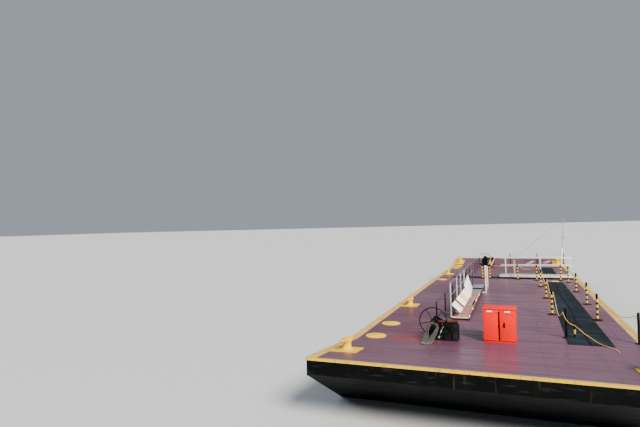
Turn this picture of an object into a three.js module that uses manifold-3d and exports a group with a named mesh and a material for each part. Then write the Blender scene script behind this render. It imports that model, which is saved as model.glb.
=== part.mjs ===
// River deck barge with raked ends, kevels, hand winches, a locker, gangways and roped walkways.
// Millimetres. +X is starboard, +Y is forward and +Z is up.
// The origin is on the flat bottom, amidships and on the centreline.
// A distance "from aft" is measured forward from the aft edge of the deck.
import * as THREE from "three";
import { mergeVertices } from "three/addons/utils/BufferGeometryUtils.js";
import Module from "manifold-3d";

const wasm = await Module();
wasm.setup();

// Driving dimensions of the hull
const LENGTH = 36576;
const BEAM = 9400;
const DEPTH = 2134;
const HEADLOG = 450;
const RAKE_RUN = 3650;
const AFT_SHEER = { rise: 330, run: 4000 };
const HEAD_SHEER = { rise: 500, run: 4500 };
const CORNER_RADIUS = 150;
const BILGE_RADIUS = 200;

// Plates, gaps and edge angles; a piece is sunk this far into the one it is welded to
const GAP = 0.3;
const SINK = 5;
const DECK_PLATE = 12;
const EDGE = { width: 150, thick: 16, skirt: 58, proud: 5 };
const MAT_THICK = 12;

const HALF_LENGTH = LENGTH / 2;
const HALF_BEAM = BEAM / 2;
const SKIN = EDGE.thick + GAP;

// Plan of the fittings: across is the distance to starboard of the centreline
const KEVELS = [
  { name: "kevel_port_1", across: -4000, fromAft: 1680 },
  { name: "kevel_port_2", across: -4020, fromAft: 11200 },
  { name: "kevel_port_3", across: -4100, fromAft: 26000 },
  { name: "kevel_starboard_1", across: 4000, fromAft: 1680 },
];
// A kevel's post narrows to its waist, and its horn narrows from its root to each tip
const KEVEL = {
  plate: [800, 820, 25],
  height: 360,
  post: { head: 190, waist: 120, flare: 90, shoulder: 130, crown: 40, round: 20 },
  horn: { tip: 600, root: 160, thick: 120, rise: 10, cut: 40, lift: 60 },
};
// Two bitts stand one behind the other on each plate
const BITTS = {
  places: [
    { name: "bitts_port", across: -4060 },
    { name: "bitts_starboard", across: 4060 },
  ],
  fromAft: 34350,
  spacing: 850,
  radius: 140,
  height: 420,
  plate: [690, 1880, 25],
  cap: { proud: 20, low: -40, high: 15 },
};
const MANHOLES = [
  { across: -3890, fromAft: 4530, radius: 370 },
  { across: -3890, fromAft: 6770, radius: 370 },
  { across: -4050, fromAft: 22320, radius: 355 },
  { across: -4125, fromAft: 31130, radius: 355 },
  { across: -4040, fromAft: 32600, radius: 355 },
  { across: 3145, fromAft: 22400, radius: 230 },
];
const MANHOLE = { thick: 14, boss: 45, bossHeight: 10 };

const LOCKER = {
  across: 305,
  fromAft: 4650,
  width: 1020,
  depth: 700,
  height: 1095,
  wall: 25,
  plinth: 60,
  header: 20,
};
const ROOF = { lip: 20, front: 45, thick: 25 };
const DOOR = { thick: 25, gap: 5, inset: 2, meet: 3, low: 65, high: 10 };
const HINGE = { out: 12, radius: 9, long: 50, leaf: 40, plate: 6, at: [200, 560, 900] };

const WINCHES = [
  { name: "winch_aft", across: -1620, fromAft: 4750, hankAt: -150, hookAt: 560 },
  { name: "winch_head", across: -1615, fromAft: 33400, hankAt: 500, hookAt: 700 },
];
const WINCH = {
  plate: [1200, 640, 16],
  cheekAt: 250,
  cheekThick: 20,
  cheek: [
    [-430, 12],
    [590, 12],
    [600, 400],
    [540, 560],
    [60, 590],
    [-110, 700],
    [-140, 725],
    [-240, 725],
    [-270, 700],
    [-430, 420],
  ],
  shaftEnd: 30,
  drum: { x: -20, z: 330, barrel: 110, flange: 215, shaft: 35, flanges: [-121, 215], flangeThick: 18 },
  gear: { radius: 278, thick: 60, aft: -225 },
  pinion: { x: -190, z: 655, radius: 83, shaft: 25 },
  wheel: { radius: 460, rim: 18, aft: -400, spokes: 5, firstSpoke: 120, spoke: 12, hub: 50, hubLong: 80 },
  horn: { x: 440, root: 400, aft: -510, tip: -680, radius: 20, stop: 45 },
  tie: 18,
  ties: [
    { x: -400, z: 110 },
    { x: 550, z: 110 },
    { x: 530, z: 430 },
    { x: -335, z: 520 },
  ],
};
const SHAFT_CLEARANCE = 0.3;
const SHAFT_SIDES = 16;
// One way round a hank, from the top of its hook: across, forward and up from the hook's middle
const HANK = {
  bundle: 52,
  sides: 12,
  steps: 60,
  round: [
    [0, -600, 75],
    [-100, -602, 40],
    [-170, -615, -60],
    [-220, -660, -200],
    [-270, -740, -360],
    [-310, -860, -475],
    [-330, -1000, -520],
    [-290, -1130, -520],
    [-200, -1170, -520],
    [-110, -1110, -520],
    [-60, -980, -505],
    [-20, -860, -460],
    [30, -740, -340],
    [80, -660, -200],
    [120, -615, -60],
    [90, -602, 40],
  ],
};

// Mats on the level deck: port and starboard edges at the aft end, then at the head end
const MATS = [
  { name: "walkway_mat", fromAft: [5000, 21950], aft: [2340, 3660], head: [2550, 3560] },
  { name: "walkway_mat_head", fromAft: [26400, 32000], aft: [2350, 3550], head: [2400, 3550] },
  { name: "cross_mat", fromAft: [23450, 24650], aft: [-3450, 3550], head: [-3450, 3550] },
];

const STANCHION = { height: 1040, radius: 42, base: 190, baseThick: 30, cap: 46 };
const STANCHIONS = [
  { name: "stanchion_inboard_1", across: 2207, fromAft: 10290 },
  { name: "stanchion_inboard_2", across: 2222, fromAft: 14930 },
  { name: "stanchion_inboard_3", across: 2169, fromAft: 19530 },
  { name: "stanchion_inboard_4", across: 2062, fromAft: 22815 },
  { name: "stanchion_outboard_1", across: 3770, fromAft: 9440 },
  { name: "stanchion_outboard_2", across: 3869, fromAft: 13330 },
  { name: "stanchion_outboard_3", across: 3865, fromAft: 17610 },
  { name: "stanchion_outboard_4", across: 3869, fromAft: 22010 },
  { name: "stanchion_mat_end", across: 3500, fromAft: 22880 },
  { name: "stanchion_cross_1", across: -1410, fromAft: 23500 },
  { name: "stanchion_cross_2", across: -930, fromAft: 23500 },
  { name: "stanchion_cross_3", across: 890, fromAft: 23170 },
];
// Black posts, each with a peg to port that a rope can lie on
const HOOK_POST = { height: 1000, radius: 42, base: 110, peg: { at: 822, reach: 115, radius: 9 } };
const HOOK_POSTS = [
  { name: "hook_post_inboard", across: 2375, fromAft: 5950 },
  { name: "hook_post_outboard", across: 4415, fromAft: 5650 },
];
const MARKER_POST = { across: 2640, fromAft: 6100, height: 535, radius: 32, base: 110 };
const VENT_POST = { across: 660, fromAft: 26350, height: 1060, radius: 80, base: 150 };

// Ropes hang from hook height on the stanchions and sag between them
const ROPE = { radius: 13, sides: 8 };

// Gangway laid across the deck; posts and rail ends are given by their distance to starboard
const CROSSING = {
  x: [-270, 4330],
  y: [23600, 24560],
  beam: { height: 230, thick: 55 },
  floor: { at: 150, thick: 30, inset: 10 },
  posts: [120, 2350, 4170],
  rails: [-200, 4270],
  postSink: 60,
  post: 25,
  midRail: 880,
  topRail: 1400,
};
// Gangway laid lengthwise on the port side, with a handrail to port and two plates at its forward end
const LENGTHWISE = {
  x: [-1725, -960],
  y: [8150, 19300],
  beam: { height: 110, thick: 50 },
  floor: { at: 60, thick: 20, y: [8150, 15720] },
  plates: [
    { y: [15760, 17000] },
    { y: [17750, 19300] },
  ],
  plate: { at: 70, thick: 25 },
  truss: { x: -1305, y: [8200, 15650], low: 90, high: 285, bar: 14, brace: 9, bays: 16 },
  kick: { at: 165, bar: 20, ends: [[-985, 8150], [-1045, 14650]], fittings: [8250, 10050, 12450, 14550] },
  kickFitting: { radius: 30, foot: 70 },
  rail: { post: 28, heights: [980, 1500], bar: 18, posts: [8200, 10480, 12120, 13780, 15520, 17260, 19100] },
  starboard: { radius: 40, rail: 20, posts: [[-770, 16100, 1540], [-845, 19150, 1240]] },
};
// Panels that lean on the port handrail's posts, with their feet on the low truss or on the floor
const PANELS = [
  { name: "plain_panel", y: [8180, 9180], slant: 470, thick: 40 },
  { name: "slatted_panel", y: [9440, 13330], slant: 470, thick: 40 },
];
// The tall panel's foot and slant at its aft edge and at its head edge; past its heel it rises to its toe
const TALL_PANEL = {
  y: [13380, 15250],
  foot: [-1440, -1352],
  slant: [735, 1055],
  thick: 30,
  heel: 13900,
  toe: 400,
};

const GUARD_POSTS = {
  across: -2200,
  fromAft: [7650, 10200, 12970, 15150, 17400, 19940, 22400, 25140, 27290, 29350, 31740],
  height: 790,
  radius: 30,
};
const HEAD_POSTS = { fromAft: 32800, across: [320, 2470, 4490], height: 1050, radius: 38 };
const GUARD_WIRE = { radius: 5, drop: 30 };
// The staff leans to starboard; its stay runs to an eye near the head edge
const JACKSTAFF = {
  across: 4330,
  fromAft: 33050,
  lean: 300,
  height: 4080,
  lower: { radius: 45, height: 1500 },
  upper: 22,
  foot: 85,
  stay: { across: 620, fromAft: 35900, radius: 14 },
};

// Paint and surface of each kind of piece
function finish(color, roughness, metalness) {
  return new THREE.MeshStandardMaterial({ color, roughness, metalness });
}
const FINISH = {
  hull: finish(0x15171a, 0.6, 0.2),
  deck: finish(0x74434e, 0.45, 0.1),
  yellow: finish(0xe9b21c, 0.45, 0.1),
  red: finish(0xe23420, 0.4, 0.1),
  black: finish(0x16181b, 0.5, 0.3),
  mat: finish(0x1b262b, 0.85, 0),
  striped: finish(0xe0b52e, 0.4, 0),
  rope: finish(0xd9b048, 0.8, 0),
  hawser: finish(0x8a8266, 0.9, 0),
  aluminium: finish(0xcfd2d2, 0.4, 0.8),
  white: finish(0xe6e6e0, 0.5, 0.1),
  tan: finish(0xc9a08c, 0.6, 0.1),
};

const barge = new THREE.Group();
const UP = new THREE.Vector3(0, 1, 0);
const SIDE_VIEW = new THREE.Matrix4().makeBasis(
  new THREE.Vector3(0, 1, 0),
  new THREE.Vector3(0, 0, 1),
  new THREE.Vector3(1, 0, 0),
);
const END_VIEW = new THREE.Matrix4().makeBasis(
  new THREE.Vector3(1, 0, 0),
  new THREE.Vector3(0, 0, 1),
  new THREE.Vector3(0, -1, 0),
);

function solidOf(geometry) {
  const bare = geometry.clone();
  bare.deleteAttribute("normal");
  bare.deleteAttribute("uv");
  const merged = mergeVertices(bare, 1e-3);
  const vertProperties = new Float32Array(merged.attributes.position.array);
  const triVerts = new Uint32Array(merged.index.array);
  return new wasm.Manifold(new wasm.Mesh({ numProp: 3, vertProperties, triVerts }));
}

function geometryOf(solid) {
  const mesh = solid.getMesh();
  const points = new Float32Array(mesh.numVert * 3);
  for (let i = 0; i < mesh.numVert; i++) {
    points.set(mesh.vertProperties.subarray(i * mesh.numProp, i * mesh.numProp + 3), i * 3);
  }
  const geometry = new THREE.BufferGeometry();
  geometry.setAttribute("position", new THREE.BufferAttribute(points, 3));
  geometry.setIndex(new THREE.BufferAttribute(new Uint32Array(mesh.triVerts), 1));
  geometry.computeVertexNormals();
  return geometry;
}

function joined(...geometries) {
  return geometryOf(geometries.map(solidOf).reduce((whole, next) => whole.add(next)));
}

function cut(geometry, ...tools) {
  return geometryOf(tools.map(solidOf).reduce((whole, tool) => whole.subtract(tool), solidOf(geometry)));
}

function common(...geometries) {
  return geometryOf(geometries.map(solidOf).reduce((whole, next) => whole.intersect(next)));
}

function piece(name, geometry, material, parent = barge) {
  const mesh = new THREE.Mesh(geometry, material);
  mesh.name = name;
  parent.add(mesh);
  return mesh;
}

function block(x, y, z) {
  const geometry = new THREE.BoxGeometry(x[1] - x[0], y[1] - y[0], z[1] - z[0]);
  return geometry.translate((x[0] + x[1]) / 2, (y[0] + y[1]) / 2, (z[0] + z[1]) / 2);
}

// A round bar between two points, with an optional second radius at its end
function bar(from, to, radius, sides = 8, endRadius = radius) {
  const start = new THREE.Vector3(...from);
  const end = new THREE.Vector3(...to);
  const geometry = new THREE.CylinderGeometry(endRadius, radius, start.distanceTo(end), sides);
  const direction = end.clone().sub(start).normalize();
  geometry.applyQuaternion(new THREE.Quaternion().setFromUnitVectors(UP, direction));
  const middle = start.add(end).multiplyScalar(0.5);
  return geometry.translate(middle.x, middle.y, middle.z);
}

function polygon(points) {
  return new THREE.Shape(points.map(([a, b]) => new THREE.Vector2(a, b)));
}

// An outline in the side view (forward, up), carried across from one x to the other
function sideways(shape, x) {
  const options = { depth: x[1] - x[0], bevelEnabled: false, curveSegments: 5 };
  const geometry = new THREE.ExtrudeGeometry(shape, options);
  return geometry.applyMatrix4(SIDE_VIEW).translate(x[0], 0, 0);
}

// An outline in the end view (starboard, up), carried along from one y to the other
function lengthways(shape, y) {
  const options = { depth: y[1] - y[0], bevelEnabled: false, curveSegments: 8 };
  const geometry = new THREE.ExtrudeGeometry(shape, options);
  return geometry.applyMatrix4(END_VIEW).translate(0, y[1], 0);
}

const along = (fromAft) => fromAft - HALF_LENGTH;

// Height of the deck's top surface at a distance forward of amidships
function deckAt(y) {
  const aft = Math.max(0, -HALF_LENGTH + AFT_SHEER.run - y) / AFT_SHEER.run;
  const head = Math.max(0, y - (HALF_LENGTH - HEAD_SHEER.run)) / HEAD_SHEER.run;
  return DEPTH + aft * AFT_SHEER.rise + head * HEAD_SHEER.rise;
}

function deckSlope(y) {
  return Math.atan2(deckAt(y + 1) - deckAt(y - 1), 2);
}

// Points of the deck line between two stations, raised by a lift
function deckLine(y, lift) {
  const knees = [-HALF_LENGTH + AFT_SHEER.run, HALF_LENGTH - HEAD_SHEER.run];
  const stations = [y[0], ...knees.filter((knee) => knee > y[0] && knee < y[1]), y[1]];
  return stations.map((station) => [station, deckAt(station) + lift]);
}

// A layer that follows the deck between two stations, from one lift above it to another
function deckLayer(x, y, lift) {
  const low = deckLine(y, lift[0]);
  const high = deckLine(y, lift[1]).reverse();
  return sideways(polygon([...low, ...high]), x);
}

// The deck's outline seen from above, drawn in by an inset, as a tall block
function planBlock(inset, z) {
  const x = HALF_BEAM - inset;
  const y = HALF_LENGTH - inset;
  const r = Math.max(20, CORNER_RADIUS - inset);
  const shape = new THREE.Shape();
  shape.moveTo(-x + r, -y);
  shape.lineTo(x - r, -y);
  shape.absarc(x - r, -y + r, r, -Math.PI / 2, 0);
  shape.lineTo(x, y - r);
  shape.absarc(x - r, y - r, r, 0, Math.PI / 2);
  shape.lineTo(-x + r, y);
  shape.absarc(-x + r, y - r, r, Math.PI / 2, Math.PI);
  shape.lineTo(-x, -y + r);
  shape.absarc(-x + r, -y + r, r, Math.PI, 1.5 * Math.PI);
  const options = { depth: z[1] - z[0], bevelEnabled: false, curveSegments: 6 };
  const geometry = new THREE.ExtrudeGeometry(shape, options);
  return geometry.translate(0, 0, z[0]);
}

// A group whose origin is on the deck, square to it
function onDeck(across, fromAft, lift = GAP) {
  const group = new THREE.Group();
  const y = along(fromAft);
  const slope = deckSlope(y);
  group.position.set(across, y - lift * Math.sin(slope), deckAt(y) + lift * Math.cos(slope));
  group.rotation.x = slope;
  barge.add(group);
  return group;
}

// A group whose origin is on the level deck or on a mat
function onLevel(across, fromAft, lift = GAP) {
  const group = new THREE.Group();
  group.position.set(across, along(fromAft), DEPTH + lift);
  barge.add(group);
  return group;
}

const END_REACH = HALF_LENGTH + 100;
const ALL_BEAM = [-HALF_BEAM - 100, HALF_BEAM + 100];
const UNDER_DECK = deckLayer(ALL_BEAM, [-END_REACH, END_REACH], [-DEPTH - 500, GAP]);

// An upright piece whose foot is trimmed to the sloping deck
function footed(geometry) {
  return cut(geometry, UNDER_DECK);
}

function buildHull() {
  const end = HALF_LENGTH - SKIN;
  const side = polygon([
    [-HALF_LENGTH + RAKE_RUN, 0],
    [HALF_LENGTH - RAKE_RUN, 0],
    [end, DEPTH + HEAD_SHEER.rise - HEADLOG],
    ...deckLine([-end, end], -DECK_PLATE).reverse(),
    [-end, DEPTH + AFT_SHEER.rise - HEADLOG],
  ]);
  const x = HALF_BEAM - SKIN;
  const top = DEPTH + 1000;
  const section = new THREE.Shape();
  section.moveTo(-x, top);
  section.lineTo(-x, BILGE_RADIUS);
  section.absarc(-x + BILGE_RADIUS, BILGE_RADIUS, BILGE_RADIUS, Math.PI, 1.5 * Math.PI);
  section.lineTo(x - BILGE_RADIUS, 0);
  section.absarc(x - BILGE_RADIUS, BILGE_RADIUS, BILGE_RADIUS, 1.5 * Math.PI, 2 * Math.PI);
  section.lineTo(x, top);
  const body = lengthways(section, [-END_REACH, END_REACH]);
  piece("hull", common(sideways(side, ALL_BEAM), body, planBlock(SKIN, [-100, top])), FINISH.hull);
}

function buildDeck() {
  const layer = deckLayer(ALL_BEAM, [-END_REACH, END_REACH], [GAP - DECK_PLATE, 0]);
  piece("deck", common(layer, planBlock(EDGE.width + GAP, [0, DEPTH + 1000])), FINISH.deck);
}

// Angle bars round the deck's edge: a level one along each side and one round each sloping end
function buildGunwales() {
  const z = [0, DEPTH + 1000];
  const band = deckLayer(ALL_BEAM, [-END_REACH, END_REACH], [-EDGE.skirt, EDGE.proud]);
  const inside = common(
    planBlock(EDGE.thick, z),
    deckLayer(ALL_BEAM, [-END_REACH, END_REACH], [-DEPTH, GAP - DECK_PLATE]),
  );
  const ring = cut(common(band, planBlock(0, z)), inside, planBlock(EDGE.width, z));
  const level = [-HALF_LENGTH + AFT_SHEER.run, HALF_LENGTH - HEAD_SHEER.run];
  const sides = [
    { name: "gunwale_port", x: [-END_REACH, 0], y: level },
    { name: "gunwale_starboard", x: [0, END_REACH], y: level },
    { name: "gunwale_aft", x: ALL_BEAM, y: [-END_REACH, level[0] - GAP] },
    { name: "gunwale_head", x: ALL_BEAM, y: [level[1] + GAP, END_REACH] },
  ];
  for (const { name, x, y } of sides) {
    piece(name, common(ring, block(x, y, z)), FINISH.yellow);
  }
}

function kevelGeometry() {
  const [wide, long, thick] = KEVEL.plate;
  const { height, post, horn } = KEVEL;
  const plate = block([-wide / 2, wide / 2], [-long / 2, long / 2], [0, thick]);
  const profile = [
    [0, thick - SINK],
    [post.head, thick - SINK],
    [post.waist, thick + post.flare],
    [post.waist, height - post.shoulder],
    [post.head - post.round, height - post.crown],
    [post.head - 2 * post.round, height],
    [0, height],
  ].map(([r, z]) => new THREE.Vector2(r, z));
  const low = height - horn.thick;
  const half = [
    [horn.root, low],
    [horn.tip - horn.cut, low + horn.lift],
    [horn.tip, height + horn.rise],
    [horn.root, height],
  ];
  const mirrored = half.map(([y, z]) => [-y, z]).reverse();
  return joined(
    plate,
    new THREE.LatheGeometry(profile, 16).rotateX(Math.PI / 2),
    sideways(polygon([...half, ...mirrored]), [-horn.thick / 2, horn.thick / 2]),
  );
}

function buildKevels() {
  for (const { name, across, fromAft } of KEVELS) {
    piece(name, kevelGeometry(), FINISH.yellow, onDeck(across, fromAft));
  }
}

function buildBitts() {
  const { spacing, radius, height, cap } = BITTS;
  const [wide, long, thick] = BITTS.plate;
  const pieces = [block([-wide / 2, wide / 2], [-long / 2, long / 2], [0, thick])];
  for (const y of [-spacing / 2, spacing / 2]) {
    pieces.push(bar([0, y, thick - SINK], [0, y, height], radius, 20));
    pieces.push(bar([0, y, height + cap.low], [0, y, height + cap.high], radius + cap.proud, 20));
  }
  for (const { name, across } of BITTS.places) {
    piece(name, joined(...pieces), FINISH.yellow, onDeck(across, BITTS.fromAft));
  }
}

function buildManholes() {
  MANHOLES.forEach(({ across, fromAft, radius }, index) => {
    const disc = bar([0, 0, 0], [0, 0, MANHOLE.thick], radius, 32);
    const boss = bar([0, 0, MANHOLE.thick - 2], [0, 0, MANHOLE.thick + MANHOLE.bossHeight], MANHOLE.boss, 12);
    piece(`manhole_cover_${index + 1}`, joined(disc, boss), FINISH.yellow, onDeck(across, fromAft));
  });
}

// The locker's front faces aft; each door hangs on knuckles at an outer front corner
function buildLocker() {
  const group = onLevel(LOCKER.across, LOCKER.fromAft);
  const half = LOCKER.width / 2;
  const { wall, height, depth, plinth, header } = LOCKER;
  const shell = block([-half, half], [0, depth], [0, height]);
  const inside = [wall + plinth, height - wall - header];
  const hollow = block([-half + wall, half - wall], [-10, depth - wall], inside);
  const roofX = [-half - ROOF.lip, half + ROOF.lip];
  const roof = block(roofX, [-ROOF.front, depth + ROOF.lip], [height - 2, height + ROOF.thick]);
  const pin = half + HINGE.out;
  const pinY = -DOOR.gap - DOOR.thick / 2;
  const span = (side, from, to) => (side > 0 ? [from, to] : [-to, -from]);
  const knuckle = (side, z) => bar([pin * side, pinY, z[0]], [pin * side, pinY, z[1]], HINGE.radius, 12);
  const brackets = [-1, 1].flatMap((side) =>
    HINGE.at.flatMap((at) => {
      const z = [at - HINGE.long, at - GAP];
      return [
        block(span(side, half - 3, half + HINGE.plate), [-2, 60], z),
        block(span(side, half + 0.5, pin + 4), [pinY - 4, 20], z),
        knuckle(side, z),
      ];
    }),
  );
  piece("locker", joined(cut(shell, hollow), roof, ...brackets), FINISH.red, group);
  const doors = [
    { name: "locker_door_port", side: -1 },
    { name: "locker_door_starboard", side: 1 },
  ];
  for (const { name, side } of doors) {
    const slabX = span(side, DOOR.meet, half - DOOR.inset);
    const slab = block(slabX, [-DOOR.gap - DOOR.thick, -DOOR.gap], [DOOR.low, height - DOOR.high]);
    const leaves = HINGE.at.flatMap((at) => {
      const z = [at + GAP, at + HINGE.long];
      const leaf = block(span(side, half - HINGE.leaf, pin), [pinY - HINGE.plate, pinY + HINGE.plate], z);
      return [leaf, knuckle(side, z)];
    });
    piece(name, joined(slab, ...leaves), FINISH.red, group);
  }
}

function winchFrame(hankAt, hookAt) {
  const [wide, long, thick] = WINCH.plate;
  const { drum, pinion, horn, cheekAt, cheekThick } = WINCH;
  const plate = block([-wide / 2, wide / 2], [-long / 2, long / 2], [0, thick]);
  const parts = [plate];
  for (const y of [-cheekAt, cheekAt]) {
    const cheek = lengthways(polygon(WINCH.cheek), [y - cheekThick / 2, y + cheekThick / 2]);
    const holes = [
      { x: drum.x, z: drum.z, radius: drum.shaft },
      { x: pinion.x, z: pinion.z, radius: pinion.shaft },
    ].map((hole) => {
      const reach = (hole.radius + SHAFT_CLEARANCE) / Math.cos(Math.PI / SHAFT_SIDES);
      return bar([hole.x, y - 50, hole.z], [hole.x, y + 50, hole.z], reach, SHAFT_SIDES);
    });
    parts.push(cut(cheek, ...holes));
  }
  for (const { x, z } of WINCH.ties) {
    parts.push(bar([x, -cheekAt, z], [x, cheekAt, z], WINCH.tie, 10));
  }
  // Bent horn that carries the hank clear of the handwheel
  const { x, root, aft, tip, radius, stop } = horn;
  const run = [Math.min(hankAt, x) - 15, Math.max(hankAt, x) + 15];
  parts.push(bar([x, -cheekAt, root], [x, aft, root], radius, 10));
  parts.push(bar([x, aft, root - radius], [x, aft, hookAt + radius], radius, 10));
  parts.push(bar([run[0], aft, hookAt], [run[1], aft, hookAt], radius, 10));
  parts.push(bar([hankAt, aft, hookAt], [hankAt, tip, hookAt], radius, 10));
  parts.push(bar([hankAt, tip + 12, hookAt], [hankAt, tip, hookAt], stop, 10));
  return joined(...parts);
}

function winchDrum() {
  const { drum, gear, cheekAt, shaftEnd } = WINCH;
  const at = (y) => [drum.x, y, drum.z];
  return joined(
    bar(at(-cheekAt - shaftEnd), at(cheekAt + shaftEnd), drum.shaft, SHAFT_SIDES),
    bar(at(gear.aft), at(gear.aft + gear.thick), gear.radius, 24),
    bar(at(gear.aft + gear.thick - 2), at(drum.flanges[1]), drum.barrel, 14),
    ...drum.flanges.map((y) => bar(at(y - drum.flangeThick), at(y), drum.flange, 18)),
  );
}

function winchHandwheel() {
  const { pinion, wheel, gear, cheekAt, shaftEnd } = WINCH;
  const at = (y) => [pinion.x, y, pinion.z];
  const rim = new THREE.TorusGeometry(wheel.radius, wheel.rim, 6, 24).rotateX(Math.PI / 2);
  const parts = [
    rim.translate(...at(wheel.aft)),
    bar(at(wheel.aft - wheel.hubLong / 2), at(cheekAt + shaftEnd), pinion.shaft, SHAFT_SIDES),
    bar(at(wheel.aft - wheel.hubLong / 2), at(wheel.aft + wheel.hubLong / 2), wheel.hub, 16),
    bar(at(gear.aft), at(gear.aft + gear.thick), pinion.radius, 20),
  ];
  for (let i = 0; i < wheel.spokes; i++) {
    const angle = THREE.MathUtils.degToRad(wheel.firstSpoke + (i * 360) / wheel.spokes);
    const [x, y, z] = at(wheel.aft);
    const tip = [x + wheel.radius * Math.cos(angle), y, z + wheel.radius * Math.sin(angle)];
    parts.push(bar([x, y, z], tip, wheel.spoke, 6));
  }
  return joined(...parts);
}

function polygonSection(radius, sides) {
  const shape = new THREE.Shape();
  for (let i = 0; i < sides; i++) {
    const angle = (i * 2 * Math.PI) / sides;
    const point = [radius * Math.cos(angle), radius * Math.sin(angle)];
    if (i === 0) shape.moveTo(...point);
    else shape.lineTo(...point);
  }
  return shape;
}

// Height of the deck over a sloping fitting's own base plane, at a distance forward of its origin
function deckOver(fromAft, forward) {
  const y = along(fromAft);
  const slope = deckSlope(y);
  return (deckAt(y + forward * Math.cos(slope)) - deckAt(y)) * Math.cos(slope) - forward * Math.sin(slope);
}

// A hank hangs on its hook, and its lower bend lies on the deck
function hankGeometry(fromAft, hankAt, hookAt) {
  const route = HANK.round.map(([x, y, z]) => {
    const floor = deckOver(fromAft, y) + HANK.bundle + SINK;
    return new THREE.Vector3(hankAt + x, y, Math.max(hookAt + z, floor));
  });
  const curve = new THREE.CatmullRomCurve3(route, true, "centripetal");
  return joined(new THREE.TubeGeometry(curve, HANK.steps, HANK.bundle, HANK.sides, true));
}

function buildWinches() {
  for (const { name, across, fromAft, hankAt, hookAt } of WINCHES) {
    const group = onDeck(across, fromAft);
    piece(`${name}_frame`, winchFrame(hankAt, hookAt), FINISH.black, group);
    piece(`${name}_drum`, winchDrum(), FINISH.black, group);
    piece(`${name}_handwheel`, winchHandwheel(), FINISH.black, group);
    piece(name.replace("winch", "hawser"), hankGeometry(fromAft, hankAt, hookAt), FINISH.hawser, group);
  }
}

function buildMats() {
  for (const { name, fromAft, aft, head } of MATS) {
    const [from, to] = fromAft.map(along);
    const outline = polygon([
      [aft[0], from],
      [aft[1], from],
      [head[1], to],
      [head[0], to],
    ]);
    const geometry = new THREE.ExtrudeGeometry(outline, { depth: MAT_THICK, bevelEnabled: false });
    piece(name, geometry.translate(0, 0, DEPTH + GAP), FINISH.mat);
  }
}

// How high a round base stands on the level deck: on a mat where it reaches over one
function matLift(across, fromAft, base) {
  const under = MATS.some((mat) => {
    const part = (fromAft - mat.fromAft[0]) / (mat.fromAft[1] - mat.fromAft[0]);
    const edge = (side) => THREE.MathUtils.lerp(mat.aft[side], mat.head[side], part);
    return part > 0 && part < 1 && across + base > edge(0) && across - base < edge(1);
  });
  return under ? MAT_THICK + 2 * GAP : GAP;
}

function postGeometry({ height, radius, base, baseThick = 20, cap = radius }) {
  const profile = [
    [0, 0],
    [base, 0],
    [base, baseThick * 0.6],
    [radius, baseThick],
    [radius, height - 55],
    [cap, height - 50],
    [cap, height],
    [0, height],
  ].map(([r, z]) => new THREE.Vector2(r, z));
  return new THREE.LatheGeometry(profile, 10).rotateX(Math.PI / 2);
}

function buildPosts() {
  for (const { name, across, fromAft } of STANCHIONS) {
    const lift = matLift(across, fromAft, STANCHION.base);
    piece(name, postGeometry(STANCHION), FINISH.striped, onLevel(across, fromAft, lift));
  }
  for (const { name, across, fromAft } of HOOK_POSTS) {
    const { at, reach, radius } = HOOK_POST.peg;
    const post = joined(postGeometry(HOOK_POST), bar([0, 0, at], [-reach, 0, at], radius, 8));
    piece(name, post, FINISH.black, onLevel(across, fromAft, matLift(across, fromAft, HOOK_POST.base)));
  }
  const posts = [
    { name: "marker_post", size: MARKER_POST, material: FINISH.striped },
    { name: "vent_post", size: VENT_POST, material: FINISH.tan },
  ];
  for (const { name, size, material } of posts) {
    const { across, fromAft, base } = size;
    piece(name, postGeometry(size), material, onLevel(across, fromAft, matLift(across, fromAft, base)));
  }
}

// Ropes: each point is across, from aft and above the deck; a dip is the lowest point of a sag
const ROPES = [
  {
    name: "rope_cross",
    points: [
      [-882, 23500, 950], [-740, 23455, 922], [-500, 23390, 896], [-150, 23325, 880], [150, 23270, 880],
      [450, 23205, 898], [700, 23150, 924], [890, 23114, 950], [1040, 23090, 860], [1200, 23062, 775],
      [1400, 23020, 715], [1600, 22970, 705], [1770, 22920, 755], [1910, 22865, 845], [2010, 22815, 950],
    ],
  },
  {
    name: "rope_inboard",
    points: [
      [2117, 22815, 950], [2185, 22100, 730], [2215, 21250, 640], [2228, 20350, 740], [2223, 19530, 950],
      [2260, 18600, 690], [2275, 17300, 560], [2280, 15900, 700], [2276, 14930, 950],
      [2290, 13750, 640], [2290, 12600, 545], [2280, 11300, 660], [2261, 10290, 950],
      [2272, 9690, 800], [2285, 8900, 530], [2290, 8250, 400], [2290, 7480, 457], [2285, 6540, 690],
      [2279, 5992, 859], [2277, 5950, 861], [2280, 5908, 858], [2372, 5878, 630], [2500, 5950, 485],
      [2620, 6046, 420], [2766, 5900, 322], [2880, 5700, 228], [3035, 5500, 150], [3140, 5350, 92],
      [3235, 5200, 50], [3330, 5060, 30], [3420, 4940, 28], [3520, 4780, 16], [3610, 4560, 16],
      [3650, 4320, 16],
    ],
  },
  {
    name: "rope_outboard",
    points: [
      [4402, 5697, 880], [4370, 5810, 862], [4325, 6020, 795], [4250, 6420, 690], [4170, 7000, 610],
      [4080, 7600, 595], [3980, 8300, 660], [3880, 9000, 820], [3824, 9440, 950],
      [3890, 10250, 690], [3920, 11150, 545], [3925, 12300, 680], [3923, 13330, 950],
      [3935, 14300, 690], [3940, 15450, 570], [3930, 16600, 700], [3919, 17610, 950],
      [3935, 18650, 700], [3940, 19800, 580], [3935, 21000, 710], [3924, 22010, 950],
    ],
  },
];

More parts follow.
